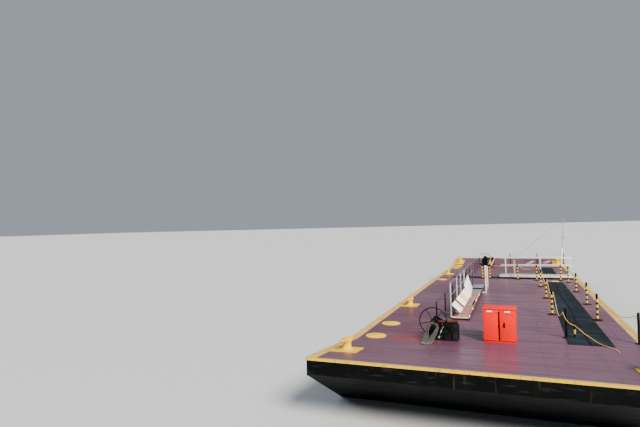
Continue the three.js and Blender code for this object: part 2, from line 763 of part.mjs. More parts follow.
function buildRopes() {
  for (const { name, points } of ROPES) {
    const route = points.map(([x, fromAft, z]) => new THREE.Vector3(x, along(fromAft), DEPTH + z));
    const curve = new THREE.CatmullRomCurve3(route, false, "centripetal");
    const steps = Math.min(80, 3 * (points.length - 1));
    const options = { steps, extrudePath: curve, bevelEnabled: false };
    const geometry = new THREE.ExtrudeGeometry(polygonSection(ROPE.radius, ROPE.sides), options);
    piece(name, geometry, FINISH.rope);
  }
}

function buildCrossing() {
  const { x, y, beam, floor, posts, rails, post, postSink, midRail, topRail } = CROSSING;
  const sides = [
    { beamY: [y[0], y[0] + beam.thick], railY: y[0] + beam.thick / 2 },
    { beamY: [y[1] - beam.thick, y[1]], railY: y[1] - beam.thick / 2 },
  ];
  const parts = [block(x, [y[0] + floor.inset, y[1] - floor.inset], [floor.at, floor.at + floor.thick])];
  for (const { beamY, railY } of sides) {
    parts.push(block(x, beamY, [0, beam.height]));
    for (const across of posts) {
      parts.push(bar([across, railY, beam.height - postSink], [across, railY, topRail], post, 8));
    }
    for (const height of [midRail, topRail]) {
      parts.push(bar([rails[0], railY, height], [rails[1], railY, height], post, 8));
    }
  }
  const group = new THREE.Group();
  group.position.set(0, along(0), DEPTH + MAT_THICK + 2 * GAP);
  barge.add(group);
  piece("gangway_across", joined(...parts), FINISH.aluminium, group);
}

function buildLengthwise() {
  const { x, y, beam, floor, plates, plate, truss, kick, kickFitting, rail, starboard } = LENGTHWISE;
  const inner = [x[0] + 10, x[1] - 10];
  const parts = [
    block([x[0], x[0] + beam.thick], y, [0, beam.height]),
    block([x[1] - beam.thick, x[1]], y, [0, beam.height]),
    block(inner, floor.y, [floor.at, floor.at + floor.thick]),
    ...plates.map((sheet) => block(inner, sheet.y, [plate.at, plate.at + plate.thick])),
  ];
  // Low truss with zigzag braces
  for (const z of [truss.low, truss.high]) {
    parts.push(bar([truss.x, truss.y[0], z], [truss.x, truss.y[1], z], truss.bar, 6));
  }
  const bay = (truss.y[1] - truss.y[0]) / truss.bays;
  for (let i = 0; i < truss.bays; i++) {
    const [from, to] = i % 2 === 0 ? [truss.low, truss.high] : [truss.high, truss.low];
    const at = truss.y[0] + i * bay;
    parts.push(bar([truss.x, at, from], [truss.x, at + bay, to], truss.brace, 5));
  }
  // Kick rail and its post sockets, which run in from the starboard beam
  const [kickAft, kickHead] = kick.ends;
  parts.push(bar([...kickAft, kick.at], [...kickHead, kick.at], kick.bar, 8));
  for (const at of kick.fittings) {
    const kickX = THREE.MathUtils.mapLinear(at, kickAft[1], kickHead[1], kickAft[0], kickHead[0]);
    const top = kick.at + kick.bar + 5;
    parts.push(bar([kickX, at, kickFitting.foot], [kickX, at, top], kickFitting.radius, 8));
  }
  // Port handrail
  const railX = x[0] + beam.thick / 2;
  for (const at of rail.posts) {
    parts.push(bar([railX, at, beam.height - 30], [railX, at, rail.heights[1]], rail.post, 8));
  }
  for (const z of rail.heights) {
    parts.push(bar([railX, rail.posts[0], z], [railX, rail.posts.at(-1), z], rail.bar, 8));
  }
  // Starboard handrail at the forward end
  const tops = starboard.posts.map(([across, at, height]) => {
    parts.push(bar([across, at, 0], [across, at, height], starboard.radius, 10));
    parts.push(block([x[1] - 20, across], [at - 20, at + 20], [20, 70]));
    return [across, at, height - starboard.rail];
  });
  parts.push(bar(...tops, starboard.rail, 8));
  const group = new THREE.Group();
  group.position.set(0, along(0), DEPTH + GAP);
  barge.add(group);
  piece("gangway_lengthwise", joined(...parts), FINISH.aluminium, group);
}

// The end view of a panel of some slant and thickness, from the lower corner of its underside
function slabOutline(low, lean, slant, thick) {
  const up = new THREE.Vector2(Math.cos(lean), Math.sin(lean));
  const out = new THREE.Vector2(up.y, -up.x);
  const high = low.clone().addScaledVector(up, slant);
  const outer = [low, high].map((corner) => corner.clone().addScaledVector(out, thick));
  return new THREE.Shape([low, outer[0], outer[1], high]);
}

function buildPanels() {
  const { x, beam, floor, truss, rail } = LENGTHWISE;
  const group = new THREE.Group();
  group.position.set(0, along(0), DEPTH + GAP);
  barge.add(group);
  const postFace = x[0] + beam.thick / 2 + rail.post + GAP;
  for (const { name, y, slant, thick } of PANELS) {
    // The foot's middle bears on the truss, and the underside's top corner on the posts
    const seat = truss.bar + GAP;
    const reach = seat + slant;
    const inPlane = Math.acos((postFace - truss.x) / Math.hypot(reach, thick / 2));
    const lean = inPlane - Math.atan2(thick / 2, reach);
    const low = new THREE.Vector2(
      truss.x + seat * Math.cos(lean) - (thick / 2) * Math.sin(lean),
      truss.high + seat * Math.sin(lean) + (thick / 2) * Math.cos(lean),
    );
    piece(name, lengthways(slabOutline(low, lean, slant, thick), y), FINISH.white, group);
  }
  const { y, foot, slant, thick, heel, toe } = TALL_PANEL;
  const base = floor.at + floor.thick + GAP;
  const corners = y.flatMap((at, end) => {
    const low = new THREE.Vector2(foot[end], base);
    const lean = Math.acos((postFace - foot[end]) / slant[end]);
    return slabOutline(low, lean, slant[end], thick).getPoints(1).map((corner) => [corner.x, at, corner.y]);
  });
  const side = polygon([
    [y[0] - 50, base],
    [heel, base],
    [y[1], toe],
    [y[1] + 50, toe],
    [y[1] + 50, base + 2 * slant[1]],
    [y[0] - 50, base + 2 * slant[1]],
  ]);
  const slab = geometryOf(wasm.Manifold.hull(corners));
  piece("tall_panel", common(slab, sideways(side, [x[0] - 100, 0])), FINISH.white, group);
}

// Rows of upright posts joined near their tops by a taut wire
function postRow(places, { height, radius }) {
  const parts = [];
  const tops = places.map(([x, fromAft]) => {
    const y = along(fromAft);
    const foot = deckAt(y);
    parts.push(footed(bar([x, y, foot - 80], [x, y, foot + height], radius, 10)));
    return [x, y, foot + height - GUARD_WIRE.drop];
  });
  for (let i = 1; i < tops.length; i++) {
    parts.push(bar(tops[i - 1], tops[i], GUARD_WIRE.radius, 6));
  }
  return joined(...parts);
}

function buildGuardPosts() {
  const port = GUARD_POSTS.fromAft.map((fromAft) => [GUARD_POSTS.across, fromAft]);
  piece("port_guard_posts", postRow(port, GUARD_POSTS), FINISH.black);
  const head = HEAD_POSTS.across.map((x) => [x, HEAD_POSTS.fromAft]);
  piece("head_guard_posts", postRow(head, HEAD_POSTS), FINISH.black);
}

function buildJackstaff() {
  const { across, fromAft, lean, height, lower, upper, foot, stay } = JACKSTAFF;
  const y = along(fromAft);
  const deck = deckAt(y);
  const at = (up) => [across + (lean * up) / height, y, deck + up];
  const eyeY = along(stay.fromAft);
  const eye = deckAt(eyeY);
  const parts = [
    footed(bar(at(-80), at(lower.height), lower.radius, 12)),
    footed(bar([across, y, deck - 80], [across, y, deck + 30], foot, 16)),
    bar(at(lower.height - 20), at(height), upper + 6, 10, upper),
    bar(at(height - 60), [stay.across, eyeY, eye + 60], stay.radius, 6),
    footed(bar([stay.across, eyeY, eye - 60], [stay.across, eyeY, eye + 75], 30, 10)),
  ];
  piece("jackstaff", joined(...parts), FINISH.white);
}

buildHull();
buildDeck();
buildGunwales();
buildKevels();
buildBitts();
buildManholes();
buildLocker();
buildWinches();
buildMats();
buildPosts();
buildRopes();
buildCrossing();
buildLengthwise();
buildPanels();
buildGuardPosts();
buildJackstaff();

export default barge;
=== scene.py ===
"""River deck barge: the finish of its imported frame, its ropes and its small fittings.

Metres. +X is starboard, +Y is forward and +Z is up, from the middle of the flat bottom.
A distance "from aft" is measured forward from the aft edge of the deck, and a "lift" is
a height above the deck.
"""
import logging
import math
from dataclasses import dataclass, field
from enum import Enum
from functools import lru_cache
from typing import Iterable, Sequence, Union

import bmesh
import bpy
from mathutils import Matrix, Vector


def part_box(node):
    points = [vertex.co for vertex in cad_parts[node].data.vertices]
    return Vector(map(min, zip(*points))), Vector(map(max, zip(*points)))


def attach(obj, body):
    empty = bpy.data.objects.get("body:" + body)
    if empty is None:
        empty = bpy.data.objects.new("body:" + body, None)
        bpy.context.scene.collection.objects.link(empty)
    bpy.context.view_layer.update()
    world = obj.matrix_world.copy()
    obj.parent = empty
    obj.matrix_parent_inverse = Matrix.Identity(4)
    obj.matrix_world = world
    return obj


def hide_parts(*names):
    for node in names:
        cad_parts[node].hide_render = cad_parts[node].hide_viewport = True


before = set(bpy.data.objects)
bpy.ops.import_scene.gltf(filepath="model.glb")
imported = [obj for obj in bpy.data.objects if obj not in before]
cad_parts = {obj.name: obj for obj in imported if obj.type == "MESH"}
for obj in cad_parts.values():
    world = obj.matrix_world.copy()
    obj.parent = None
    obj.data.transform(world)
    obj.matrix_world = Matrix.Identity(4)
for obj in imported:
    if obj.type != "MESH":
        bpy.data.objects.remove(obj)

LOG = logging.getLogger("barge")
Link = bpy.types.NodeSocket
Piece = bpy.types.Object
Material = bpy.types.Material
Numbers = Sequence[float]
Pair = tuple[float, float]
Triple = tuple[float, float, float]
Value = Union[Link, float, Triple, Numbers]
BODY = "barge"
GAP = 0.0003
TURN = 2 * math.pi
MERGE = 2e-5
FLAT = math.radians(0.5)
SHARP = math.radians(30)
ORIGIN = [(0, 0, 0)]


@dataclass(frozen=True)
class DeckLine:
    """The line of the deck from its aft edge to its head edge, level between two sheers."""

    half_length: float = 18.288
    half_beam: float = 4.700
    level: float = 2.134
    aft_rise: float = 0.33
    aft_run: float = 4.0
    head_rise: float = 0.50
    head_run: float = 4.5

    def along(self, from_aft: float) -> float:
        """Returns the forward coordinate of a distance from aft."""
        return from_aft - self.half_length

    def height(self, y: float) -> float:
        """Returns the height of the deck's top at a forward coordinate."""
        aft = max(0.0, self.aft_run - self.half_length - y) / self.aft_run
        head = max(0.0, y - self.half_length + self.head_run) / self.head_run
        return self.level + aft * self.aft_rise + head * self.head_rise

    def slope(self, y: float) -> float:
        """Returns the deck's angle from level at a forward coordinate, in radians."""
        step = 0.001
        return math.atan2(self.height(y + step) - self.height(y - step), 2 * step)

    def square(self, across: float, from_aft: float, lift: float = GAP) -> Matrix:
        """Gives the place of a fitting that stands square on the deck.

        Args:
            across: Distance to starboard of the centreline.
            from_aft: Distance forward of the aft edge.
            lift: Height of the fitting's foot above the deck.

        Returns:
            The matrix that carries the fitting's own frame to its place.
        """
        y = self.along(from_aft)
        foot = Matrix.Translation((across, y, self.height(y)))
        return foot @ Matrix.Rotation(self.slope(y), 4, "X") @ Matrix.Translation((0, 0, lift))

    def upright(self, across: float, from_aft: float, lift: float = GAP) -> Matrix:
        """Returns the place of a fitting that stands plumb on the deck."""
        y = self.along(from_aft)
        return Matrix.Translation((across, y, self.height(y) + lift))


DECK = DeckLine()


def around(radius: float, count: int, height: float = 0.0) -> list[Vector]:
    """Returns points at even angles on a level circle."""
    angles = [TURN * i / count for i in range(count)]
    return [Vector((radius * math.cos(a), radius * math.sin(a), height)) for a in angles]


def eased(share: float) -> float:
    """Returns a share held between 0 and 1 and eased at both ends."""
    share = min(1.0, max(0.0, share))
    return share * share * (3 - 2 * share)


def quarter(axis: str, *spot: float) -> Matrix:
    """Returns the place at a spot that is turned a right angle about an axis."""
    return Matrix.Translation(spot) @ Matrix.Rotation(math.pi / 2, 4, axis)


class Form:
    """A mesh under construction, made of closed shells in metres."""

    def __init__(self) -> None:
        """Starts an empty form."""
        self.bm = bmesh.new()

    def loft(self, rings: Sequence[Sequence[Vector]], closed: bool = False) -> "Form":
        """Joins rings of points into a skin.

        Args:
            rings: Rings with the same number of points, in order along the shell.
            closed: Whether the last ring meets the first, as on a hoop.

        Returns:
            The form itself.
        """
        rows = [[self.bm.verts.new(point) for point in ring] for ring in rings]
        pairs = list(zip(rows, rows[1:])) + ([(rows[-1], rows[0])] if closed else [])
        count = len(rows[0])
        for low, high in pairs:
            for i in range(count):
                j = (i + 1) % count
                self.bm.faces.new((low[i], low[j], high[j], high[i]))
        if not closed:
            self.bm.faces.new(rows[0])
            self.bm.faces.new(rows[-1])
        return self

    def block(self, x: Numbers, y: Numbers, z: Numbers) -> "Form":
        """Adds a box between two limits on each axis and returns the form."""
        corners = [(x[0], y[0]), (x[1], y[0]), (x[1], y[1]), (x[0], y[1])]
        return self.loft([[Vector((a, b, height)) for a, b in corners] for height in z])

    def rod(
        self, start: Numbers, end: Numbers, radius: float, sides: int = 16, end_radius: float | None = None
    ) -> "Form":
        """Adds a round bar between two points.

        Args:
            start: Centre of the first end.
            end: Centre of the other end.
            radius: Radius at the first end.
            sides: Number of sides.
            end_radius: Radius at the other end, the same if left out.

        Returns:
            The form itself.
        """
        a, b = Vector(start), Vector(end)
        turn = (b - a).to_track_quat("Z", "Y")
        radii = (radius, radius if end_radius is None else end_radius)
        return self.loft([[p + turn @ spot for spot in around(r, sides)] for p, r in zip((a, b), radii)])

    def turned(self, profile: Sequence[Pair], sides: int = 32, place: Matrix = Matrix()) -> "Form":
        """Adds a turned piece.

        Args:
            profile: Radius and height pairs from the foot to the top.
            sides: Number of sides.
            place: Where the piece's own upright axis stands.

        Returns:
            The form itself.
        """
        return self.loft([[place @ spot for spot in around(r, sides, z)] for r, z in profile])

    def bent(self, path: Sequence[Numbers], radius: float, sides: int = 10, closed: bool = False) -> "Form":
        """Adds a bar that follows a path.

        Args:
            path: Points of the bar's centreline.
            radius: Radius of the bar.
            sides: Number of sides.
            closed: Whether the bar is a hoop.

        Returns:
            The form itself.
        """
        points = [Vector(p) for p in path]
        count = len(points)
        rings, normal = [], None
        for i, point in enumerate(points):
            before = points[i - 1] if closed or i else point
            after = points[(i + 1) % count] if closed or i < count - 1 else point
            ahead = (after - before).normalized()
            if normal is None:
                normal = ahead.orthogonal().normalized()
            normal = (normal - ahead * normal.dot(ahead)).normalized()
            side = ahead.cross(normal)
            rings.append([
                point + radius * (normal * math.cos(TURN * k / sides) + side * math.sin(TURN * k / sides))
                for k in range(sides)
            ])
        return self.loft(rings, closed)

    def hoop(self, radius: float, bar: float, place: Matrix, steps: int = 64, sides: int = 12) -> "Form":
        """Adds a ring round the upright axis of a place and returns the form."""
        return self.bent([place @ spot for spot in around(radius, steps)], bar, sides, closed=True)

    def node(self, name: str) -> "Form":
        """Adds a merged copy of a frame node's mesh and returns the form."""
        self.bm.from_mesh(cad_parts[name].data)
        bmesh.ops.remove_doubles(self.bm, verts=self.bm.verts, dist=MERGE)
        bmesh.ops.dissolve_limit(self.bm, angle_limit=FLAT, verts=self.bm.verts, edges=self.bm.edges)
        return self

    def piece(
        self, name: str, finish: "Finish", slot: str, *nodes: str, place: Matrix = Matrix(),
        bevel: float = 0.0, smooth: float = 40.0, body: str = BODY,
    ) -> Piece:
        """Turns the form into a piece on its body.

        Args:
            name: The piece's name.
            finish: What covers it.
            slot: The record's material slot; not used.
            nodes: Frame nodes that it stands for.
            place: Where the form's own frame stands.
            bevel: Width of the round on its sharp edges.
            smooth: Angle in degrees past which an edge stays sharp.
            body: The body that it rides on.

        Returns:
            The piece, at the origin.
        """
        self.bm.transform(place)
        bmesh.ops.recalc_face_normals(self.bm, faces=self.bm.faces)
        if bevel:
            sharp = [e for e in self.bm.edges if e.calc_face_angle(0.0) > SHARP]
            bmesh.ops.bevel(
                self.bm, geom=sharp, offset=bevel, segments=2, profile=0.5, affect="EDGES",
                clamp_overlap=True,
            )
        mesh = bpy.data.meshes.new(name)
        self.bm.to_mesh(mesh)
        self.bm.free()
        mesh.materials.append(finish_of(finish))
        mesh.polygons.foreach_set("use_smooth", [True] * len(mesh.polygons))
        mesh.set_sharp_from_angle(angle=math.radians(smooth))
        return fitted(name, mesh, nodes, body)


def linked(name: str, data: bpy.types.ID) -> Piece:
    """Returns a new object in the scene with some data."""
    made = bpy.data.objects.new(name, data)
    bpy.context.scene.collection.objects.link(made)
    return made


def fitted(name: str, mesh: bpy.types.Mesh, nodes: Sequence[str], body: str) -> Piece:
    """Makes a piece of a mesh and puts it on its body.

    Args:
        name: The piece's name.
        mesh: Its mesh.
        nodes: Frame nodes that it stands for.
        body: The body that it rides on.

    Returns:
        The piece.
    """
    made = linked(name, mesh)
    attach(made, body)
    if nodes:
        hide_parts(*nodes)
    LOG.info("%s rides on %s with %d faces", made.name, body, len(made.data.polygons))
    return made


class Nodes:
    """A node tree while it is built."""

    tree: bpy.types.NodeTree

    def add(self, kind: str, inputs: dict | None = None, **settings: object) -> bpy.types.Node:
        """Adds a node.

        Args:
            kind: The node's type.
            inputs: Sockets or values by the input's name or number.
            settings: The node's own properties.

        Returns:
            The node.
        """
        node = self.tree.nodes.new(kind)
        for key, value in settings.items():
            setattr(node, key, value)
        for key, value in (inputs or {}).items():
            if isinstance(value, Link):
                self.tree.links.new(value, node.inputs[key])
            else:
                node.inputs[key].default_value = value
        return node

    def out(self, kind: str, inputs: dict | None = None, **settings: object) -> Link:
        """Adds a node and returns its first output."""
        return self.add(kind, inputs, **settings).outputs[0]

    def math(self, operation: str, *terms: Value) -> Link:
        """Returns the result of a Math node on up to three terms."""
        return self.out("ShaderNodeMath", dict(enumerate(terms)), operation=operation)

    def times(self, a: Value, b: Value) -> Link:
        """Returns a product."""
        return self.math("MULTIPLY", a, b)

    def plus(self, a: Value, b: Value) -> Link:
        """Returns a sum."""
        return self.math("ADD", a, b)

    def minus(self, a: Value, b: Value) -> Link:
        """Returns a difference."""
        return self.math("SUBTRACT", a, b)

    def most(self, a: Value, b: Value) -> Link:
        """Returns the greater of two values."""
        return self.math("MAXIMUM", a, b)


class Shader(Nodes):
    """A surface's node tree while it is built, on Object coordinates."""

    def __init__(self, name: str, roughness: float, metallic: float = 0.0, specular: float = 0.5) -> None:
        """Starts a surface.

        Args:
            name: The material's name.
            roughness: Roughness where nothing else is linked.
            metallic: How metallic it is.
            specular: Level of its plain reflection.
        """
        self.material = bpy.data.materials.new(name)
        self.material.use_nodes = True
        self.tree = self.material.node_tree
        self.surface = self.tree.nodes["Principled BSDF"]
        self.surface.inputs["Roughness"].default_value = roughness
        self.surface.inputs["Metallic"].default_value = metallic
        self.surface.inputs["Specular IOR Level"].default_value = specular
        self.place = self.tree.nodes.new("ShaderNodeTexCoord").outputs["Object"]
        self.height: Value = None

    def noise(
        self, size: float, stretch: Triple = (1, 1, 1), detail: float = 4.0, rough: float = 0.55,
        warp: float = 0.0,
    ) -> Link:
        """Adds soft noise.

        Args:
            size: Size of its largest blots, in metres.
            stretch: How much finer it is on each axis.
            detail: Number of finer layers.
            rough: Weight of the finer layers.
            warp: How far it is bent by itself.

        Returns:
            The noise's value, from about 0.3 to 0.7.
        """
        spread = self.out("ShaderNodeMapping", {"Vector": self.place, "Scale": stretch})
        return self.add("ShaderNodeTexNoise", {
            "Vector": spread, "Scale": 1 / size, "Detail": detail, "Roughness": rough, "Distortion": warp,
        }).outputs["Fac"]

    def grade(
        self, value: Value, low: float, high: float, start: float = 0.0, end: float = 1.0
    ) -> Link:
        """Returns a value carried smoothly from low..high to start..end, and clamped."""
        inputs = {0: value, 1: low, 2: high, 3: start, 4: end}
        return self.out("ShaderNodeMapRange", inputs, interpolation_type="SMOOTHSTEP")

    def blots(self, low: float, high: float, *size: Value, **detail: float) -> Link:
        """Returns noise carried smoothly from low..high to 0..1."""
        return self.grade(self.noise(*size, **detail), low, high)

    def mix(self, factor: Value, low: Value, high: Value) -> Link:
        """Returns two colours mixed by a factor."""
        inputs = {0: factor, 6: as_colour(low), 7: as_colour(high)}
        return self.add("ShaderNodeMix", inputs, data_type="RGBA", clamp_factor=True).outputs[2]

    def over(self, colour: Value, mask: Value, paint: Value, strength: Value) -> Link:
        """Returns a colour with a paint laid over it where a mask is, at a strength."""
        return self.mix(self.times(mask, strength), colour, paint)

    def axes(self) -> list[Link]:
        """Returns the across, forward and upward Object coordinates."""
        return list(self.add("ShaderNodeSeparateXYZ", {0: self.place}).outputs)

    def within(self, value: Value, low: float, high: float, blur: float) -> Link:
        """Returns 1 where a value lies between two limits, with soft edges."""
        rising = self.grade(value, low - blur, low + blur)
        falling = self.grade(value, high - blur, high + blur, 1.0, 0.0)
        return self.times(rising, falling)

    def pitch_lines(self, value: Value, pitch: float, width: float, blur: float) -> Link:
        """Returns 1 on lines of some width at an even pitch along a value."""
        cell = self.math("PINGPONG", value, pitch / 2)
        return self.grade(cell, width / 2, width / 2 + blur, 1.0, 0.0)

    def relief(self, height: Value, depth: float) -> None:
        """Adds a height field to the surface's bump, with its depth in metres."""
        scaled = self.times(height, depth)
        self.height = scaled if self.height is None else self.plus(self.height, scaled)

    def grain(self, depth: float, *size: Value, **detail: float) -> None:
        """Adds noise to the surface's bump, with its depth in metres."""
        self.relief(self.noise(*size, **detail), depth)

    def close(self, colour: Value, roughness: Value = None) -> Material:
        """Links the surface.

        Args:
            colour: Its colour.
            roughness: Its roughness where that varies.

        Returns:
            The finished material.
        """
        link = self.tree.links.new
        if isinstance(colour, Link):
            link(colour, self.surface.inputs["Base Color"])
        else:
            self.surface.inputs["Base Color"].default_value = as_colour(colour)
        if roughness is not None:
            link(roughness, self.surface.inputs["Roughness"])
        if self.height is not None:
            bump = self.add("ShaderNodeBump", {"Strength": 1.0, "Distance": 1.0, "Height": self.height})
            link(bump.outputs[0], self.surface.inputs["Normal"])
        return self.material


def as_colour(value: Value) -> Value:
    """Returns three numbers as a colour with full alpha, and anything else as it is."""
    if isinstance(value, (tuple, list)) and len(value) == 3:
        return (*value, 1.0)
    return value


RUST = (0.16, 0.055, 0.022)
GRIME = (0.030, 0.028, 0.026)


class Finish:
    """What covers a piece; each kind of finish builds one material."""

    def material(self) -> Material:
        """Returns the material, newly built."""
        raise NotImplementedError


@lru_cache(maxsize=None)
def finish_of(finish: Finish) -> Material:
    """Returns the one material of a finish."""
    return finish.material()


@dataclass(frozen=True)
class Enamel(Finish):
    """Brushed enamel on steel, with faded blots, dirt, rust specks and runs."""

    name: str
    colour: Triple
    faded: Triple
    rust: float = 0.3
    dirt: float = 0.35
    roughness: float = 0.38

    def material(self) -> Material:
        """Returns the enamel's material."""
        s = Shader(self.name, self.roughness, specular=0.08)
        blots = s.blots(0.35, 0.7, 0.45, detail=5.0)
        colour = s.mix(s.times(blots, 0.6), self.colour, self.faded)
        runs = s.blots(0.52, 0.72, 0.07, (1, 1, 0.12), detail=5.0)
        colour = s.over(colour, runs, GRIME, self.dirt)
        specks = s.noise(0.05, detail=9.0, rough=0.7, warp=0.6)
        patches = s.noise(0.55, detail=3.0)
        worn = s.times(s.grade(specks, 0.60, 0.66), s.grade(patches, 0.48, 0.62))
        colour = s.over(colour, worn, RUST, self.rust)
        s.grain(0.0006, 0.012, (1, 1, 0.5), detail=3.0)
        s.relief(worn, -0.0006)
        s.grain(0.003, 0.3, detail=2.0)
        rough = s.plus(s.grade(blots, 0, 1, self.roughness - 0.06, self.roughness + 0.12),
                       s.times(worn, 0.3))
        return s.close(colour, rough)


@dataclass(frozen=True)
class DeckPaint(Finish):
    """Maroon deck paint, streaked across the deck, with scuffs, seams and a yellow border; its mauve blots
    and streaks are partly a painted sky sheen.
    """

    name: str = "deck_paint"
    maroon: Triple = (0.076, 0.018, 0.035)
    mauve_sky_sheen: Triple = (0.118, 0.057, 0.092)
    primer: Triple = (0.160, 0.022, 0.024)
    shade: Triple = (0.030, 0.010, 0.018)
    border: Triple = (0.60, 0.36, 0.070)
    border_wide: float = 0.30
    end_wide: float = 0.14
    frame_pitch: float = 0.61
    strake: float = 1.52

    def material(self) -> Material:
        """Returns the deck paint's material."""
        s = Shader(self.name, 0.4, specular=0.3)
        x, y, _ = s.axes()
        clouds = s.blots(0.32, 0.68, 5.0, detail=4.0)
        streaks = s.blots(0.36, 0.66, 1.1, (0.18, 2.2, 1), detail=6.0, rough=0.62)
        lines = s.blots(0.44, 0.62, 0.45, (0.12, 5.0, 1), detail=6.0, rough=0.65)
        # The mauve blots and streaks are partly a painted sky sheen on the semi-gloss paint and partly
        # scuffed paint.
        colour = s.mix(clouds, self.maroon, self.mauve_sky_sheen)
        colour = s.over(colour, streaks, self.mauve_sky_sheen, 0.55)
        colour = s.over(colour, lines, self.shade, 0.28)
        bare = s.noise(2.3, (0.45, 1.7, 1), detail=8.0, rough=0.62, warp=0.3)
        colour = s.mix(s.times(s.grade(bare, 0.60, 0.70), 0.75), colour, self.primer)
        colour = self.marks(s, x, y, colour)
        seam = s.most(s.pitch_lines(x, self.strake, 0.012, 0.01),
                      s.pitch_lines(y, 6 * self.frame_pitch, 0.012, 0.01))
        colour = s.over(colour, seam, self.shade, 0.35)
        wobble = s.times(s.minus(s.noise(0.15, detail=3.0), 0.5), 0.03)
        side = s.plus(s.minus(s.math("ABSOLUTE", x), DECK.half_beam - self.border_wide), wobble)
        ends = s.plus(s.minus(s.math("ABSOLUTE", y), DECK.half_length - self.end_wide), wobble)
        painted = s.grade(s.most(side, ends), -0.004, 0.004)
        chipped = s.grade(s.noise(0.09, detail=8.0, rough=0.7), 0.60, 0.64, 1.0, 0.25)
        dusty = s.mix(s.blots(0.4, 0.7, 0.8, detail=5.0), self.border, (0.42, 0.27, 0.090))
        colour = s.over(colour, painted, dusty, chipped)
        dish_x = s.math("SINE", s.times(x, TURN / self.strake))
        dish_y = s.math("SINE", s.times(y, TURN / self.frame_pitch))
        s.relief(s.times(dish_x, dish_y), 0.0012)
        s.relief(seam, 0.002)
        s.grain(0.0007, 0.02, detail=3.0)
        s.grain(0.004, 0.9, (0.6, 1.5, 1), detail=3.0)
        return s.close(colour, s.grade(s.plus(streaks, lines), 0.2, 1.6, 0.30, 0.52))

    def marks(self, s: Shader, x: Value, y: Value, colour: Value) -> Link:
        """Adds the scuff arcs, the dark lines along the deck and the primer patch that lie at known places.

        Args:
            s: The surface.
            x: Across coordinate.
            y: Forward coordinate.
            colour: The paint under the marks.

        Returns:
            The marked colour.
        """
        arcs = [(0.2, 9.3, 1.47, 0.5, 1.8), (-1.4, 16.2, 2.3, 0.2, 1.0), (1.2, 13.4, 1.5, 0.4, 1.0)]
        rails = [(-3.48, (9.6, 16.7)), (-2.92, (12.4, 15.8)), (3.95, (6.0, 12.0))]
        mask: Value = None
        for across, from_aft, radius, start, stretch in arcs:
            dx = s.minus(x, across)
            dy = s.math("DIVIDE", s.minus(y, DECK.along(from_aft)), stretch)
            reach = s.math("SQRT", s.plus(s.times(dx, dx), s.times(dy, dy)))
            arc = s.within(reach, radius - 0.012, radius + 0.012, 0.006)
            arc = s.times(arc, s.grade(x, start - 0.5, start + 0.4))
            mask = arc if mask is None else s.most(mask, arc)
        for across, reach in rails:
            run = s.within(y, *(DECK.along(end) for end in reach), 0.15)
            mask = s.most(mask, s.times(s.within(x, across - 0.012, across + 0.012, 0.006), run))
        mask = s.times(mask, s.grade(s.noise(0.5, detail=4.0), 0.3, 0.55, 0.5, 0.95))
        colour = s.mix(mask, colour, GRIME)
        dx = s.math("DIVIDE", s.minus(x, -2.5), 1.0)
        dy = s.math("DIVIDE", s.minus(y, DECK.along(4.5)), 0.8)
        reach = s.plus(s.times(dx, dx), s.times(dy, dy))
        reach = s.plus(reach, s.times(s.minus(s.noise(0.35, detail=6.0), 0.5), 3.5))
        return s.mix(s.grade(reach, 0.1, 1.2, 0.75, 0.0), colour, self.primer)


@dataclass(frozen=True)
class EdgePaint(Finish):
    """Yellow edge paint, paler on its upward faces as a painted sky sheen and strong on the upright flange.
    """

    name: str = "edge_paint"
    # The top colour is the flange's yellow with a painted sky sheen.
    top: Triple = (0.50, 0.34, 0.080)
    flange: Triple = (0.66, 0.40, 0.0)

    def material(self) -> Material:
        """Returns the edge paint's material."""
        s = Shader(self.name, 0.5, specular=0.15)
        # Upward faces take the paler top colour, a painted sky sheen chosen by the face's direction.
        normal = s.tree.nodes.new("ShaderNodeNewGeometry").outputs["Normal"]
        up = s.add("ShaderNodeSeparateXYZ", {0: normal}).outputs[2]
        colour = s.mix(s.grade(up, 0.4, 0.8), self.flange, self.top)
        dust = s.blots(0.4, 0.7, 0.8, detail=5.0)
        colour = s.over(colour, dust, (0.44, 0.29, 0.10), 0.5)
        chips = s.blots(0.60, 0.64, 0.10, detail=8.0, rough=0.7)
        colour = s.over(colour, chips, RUST, 0.7)
        runs = s.blots(0.55, 0.70, 0.12, (1, 1, 0.3), detail=6.0)
        colour = s.over(colour, runs, GRIME, 0.5)
        s.grain(0.0008, 0.015, detail=3.0)
        s.relief(chips, -0.0008)
        return s.close(colour, s.grade(dust, 0, 1, 0.42, 0.6))


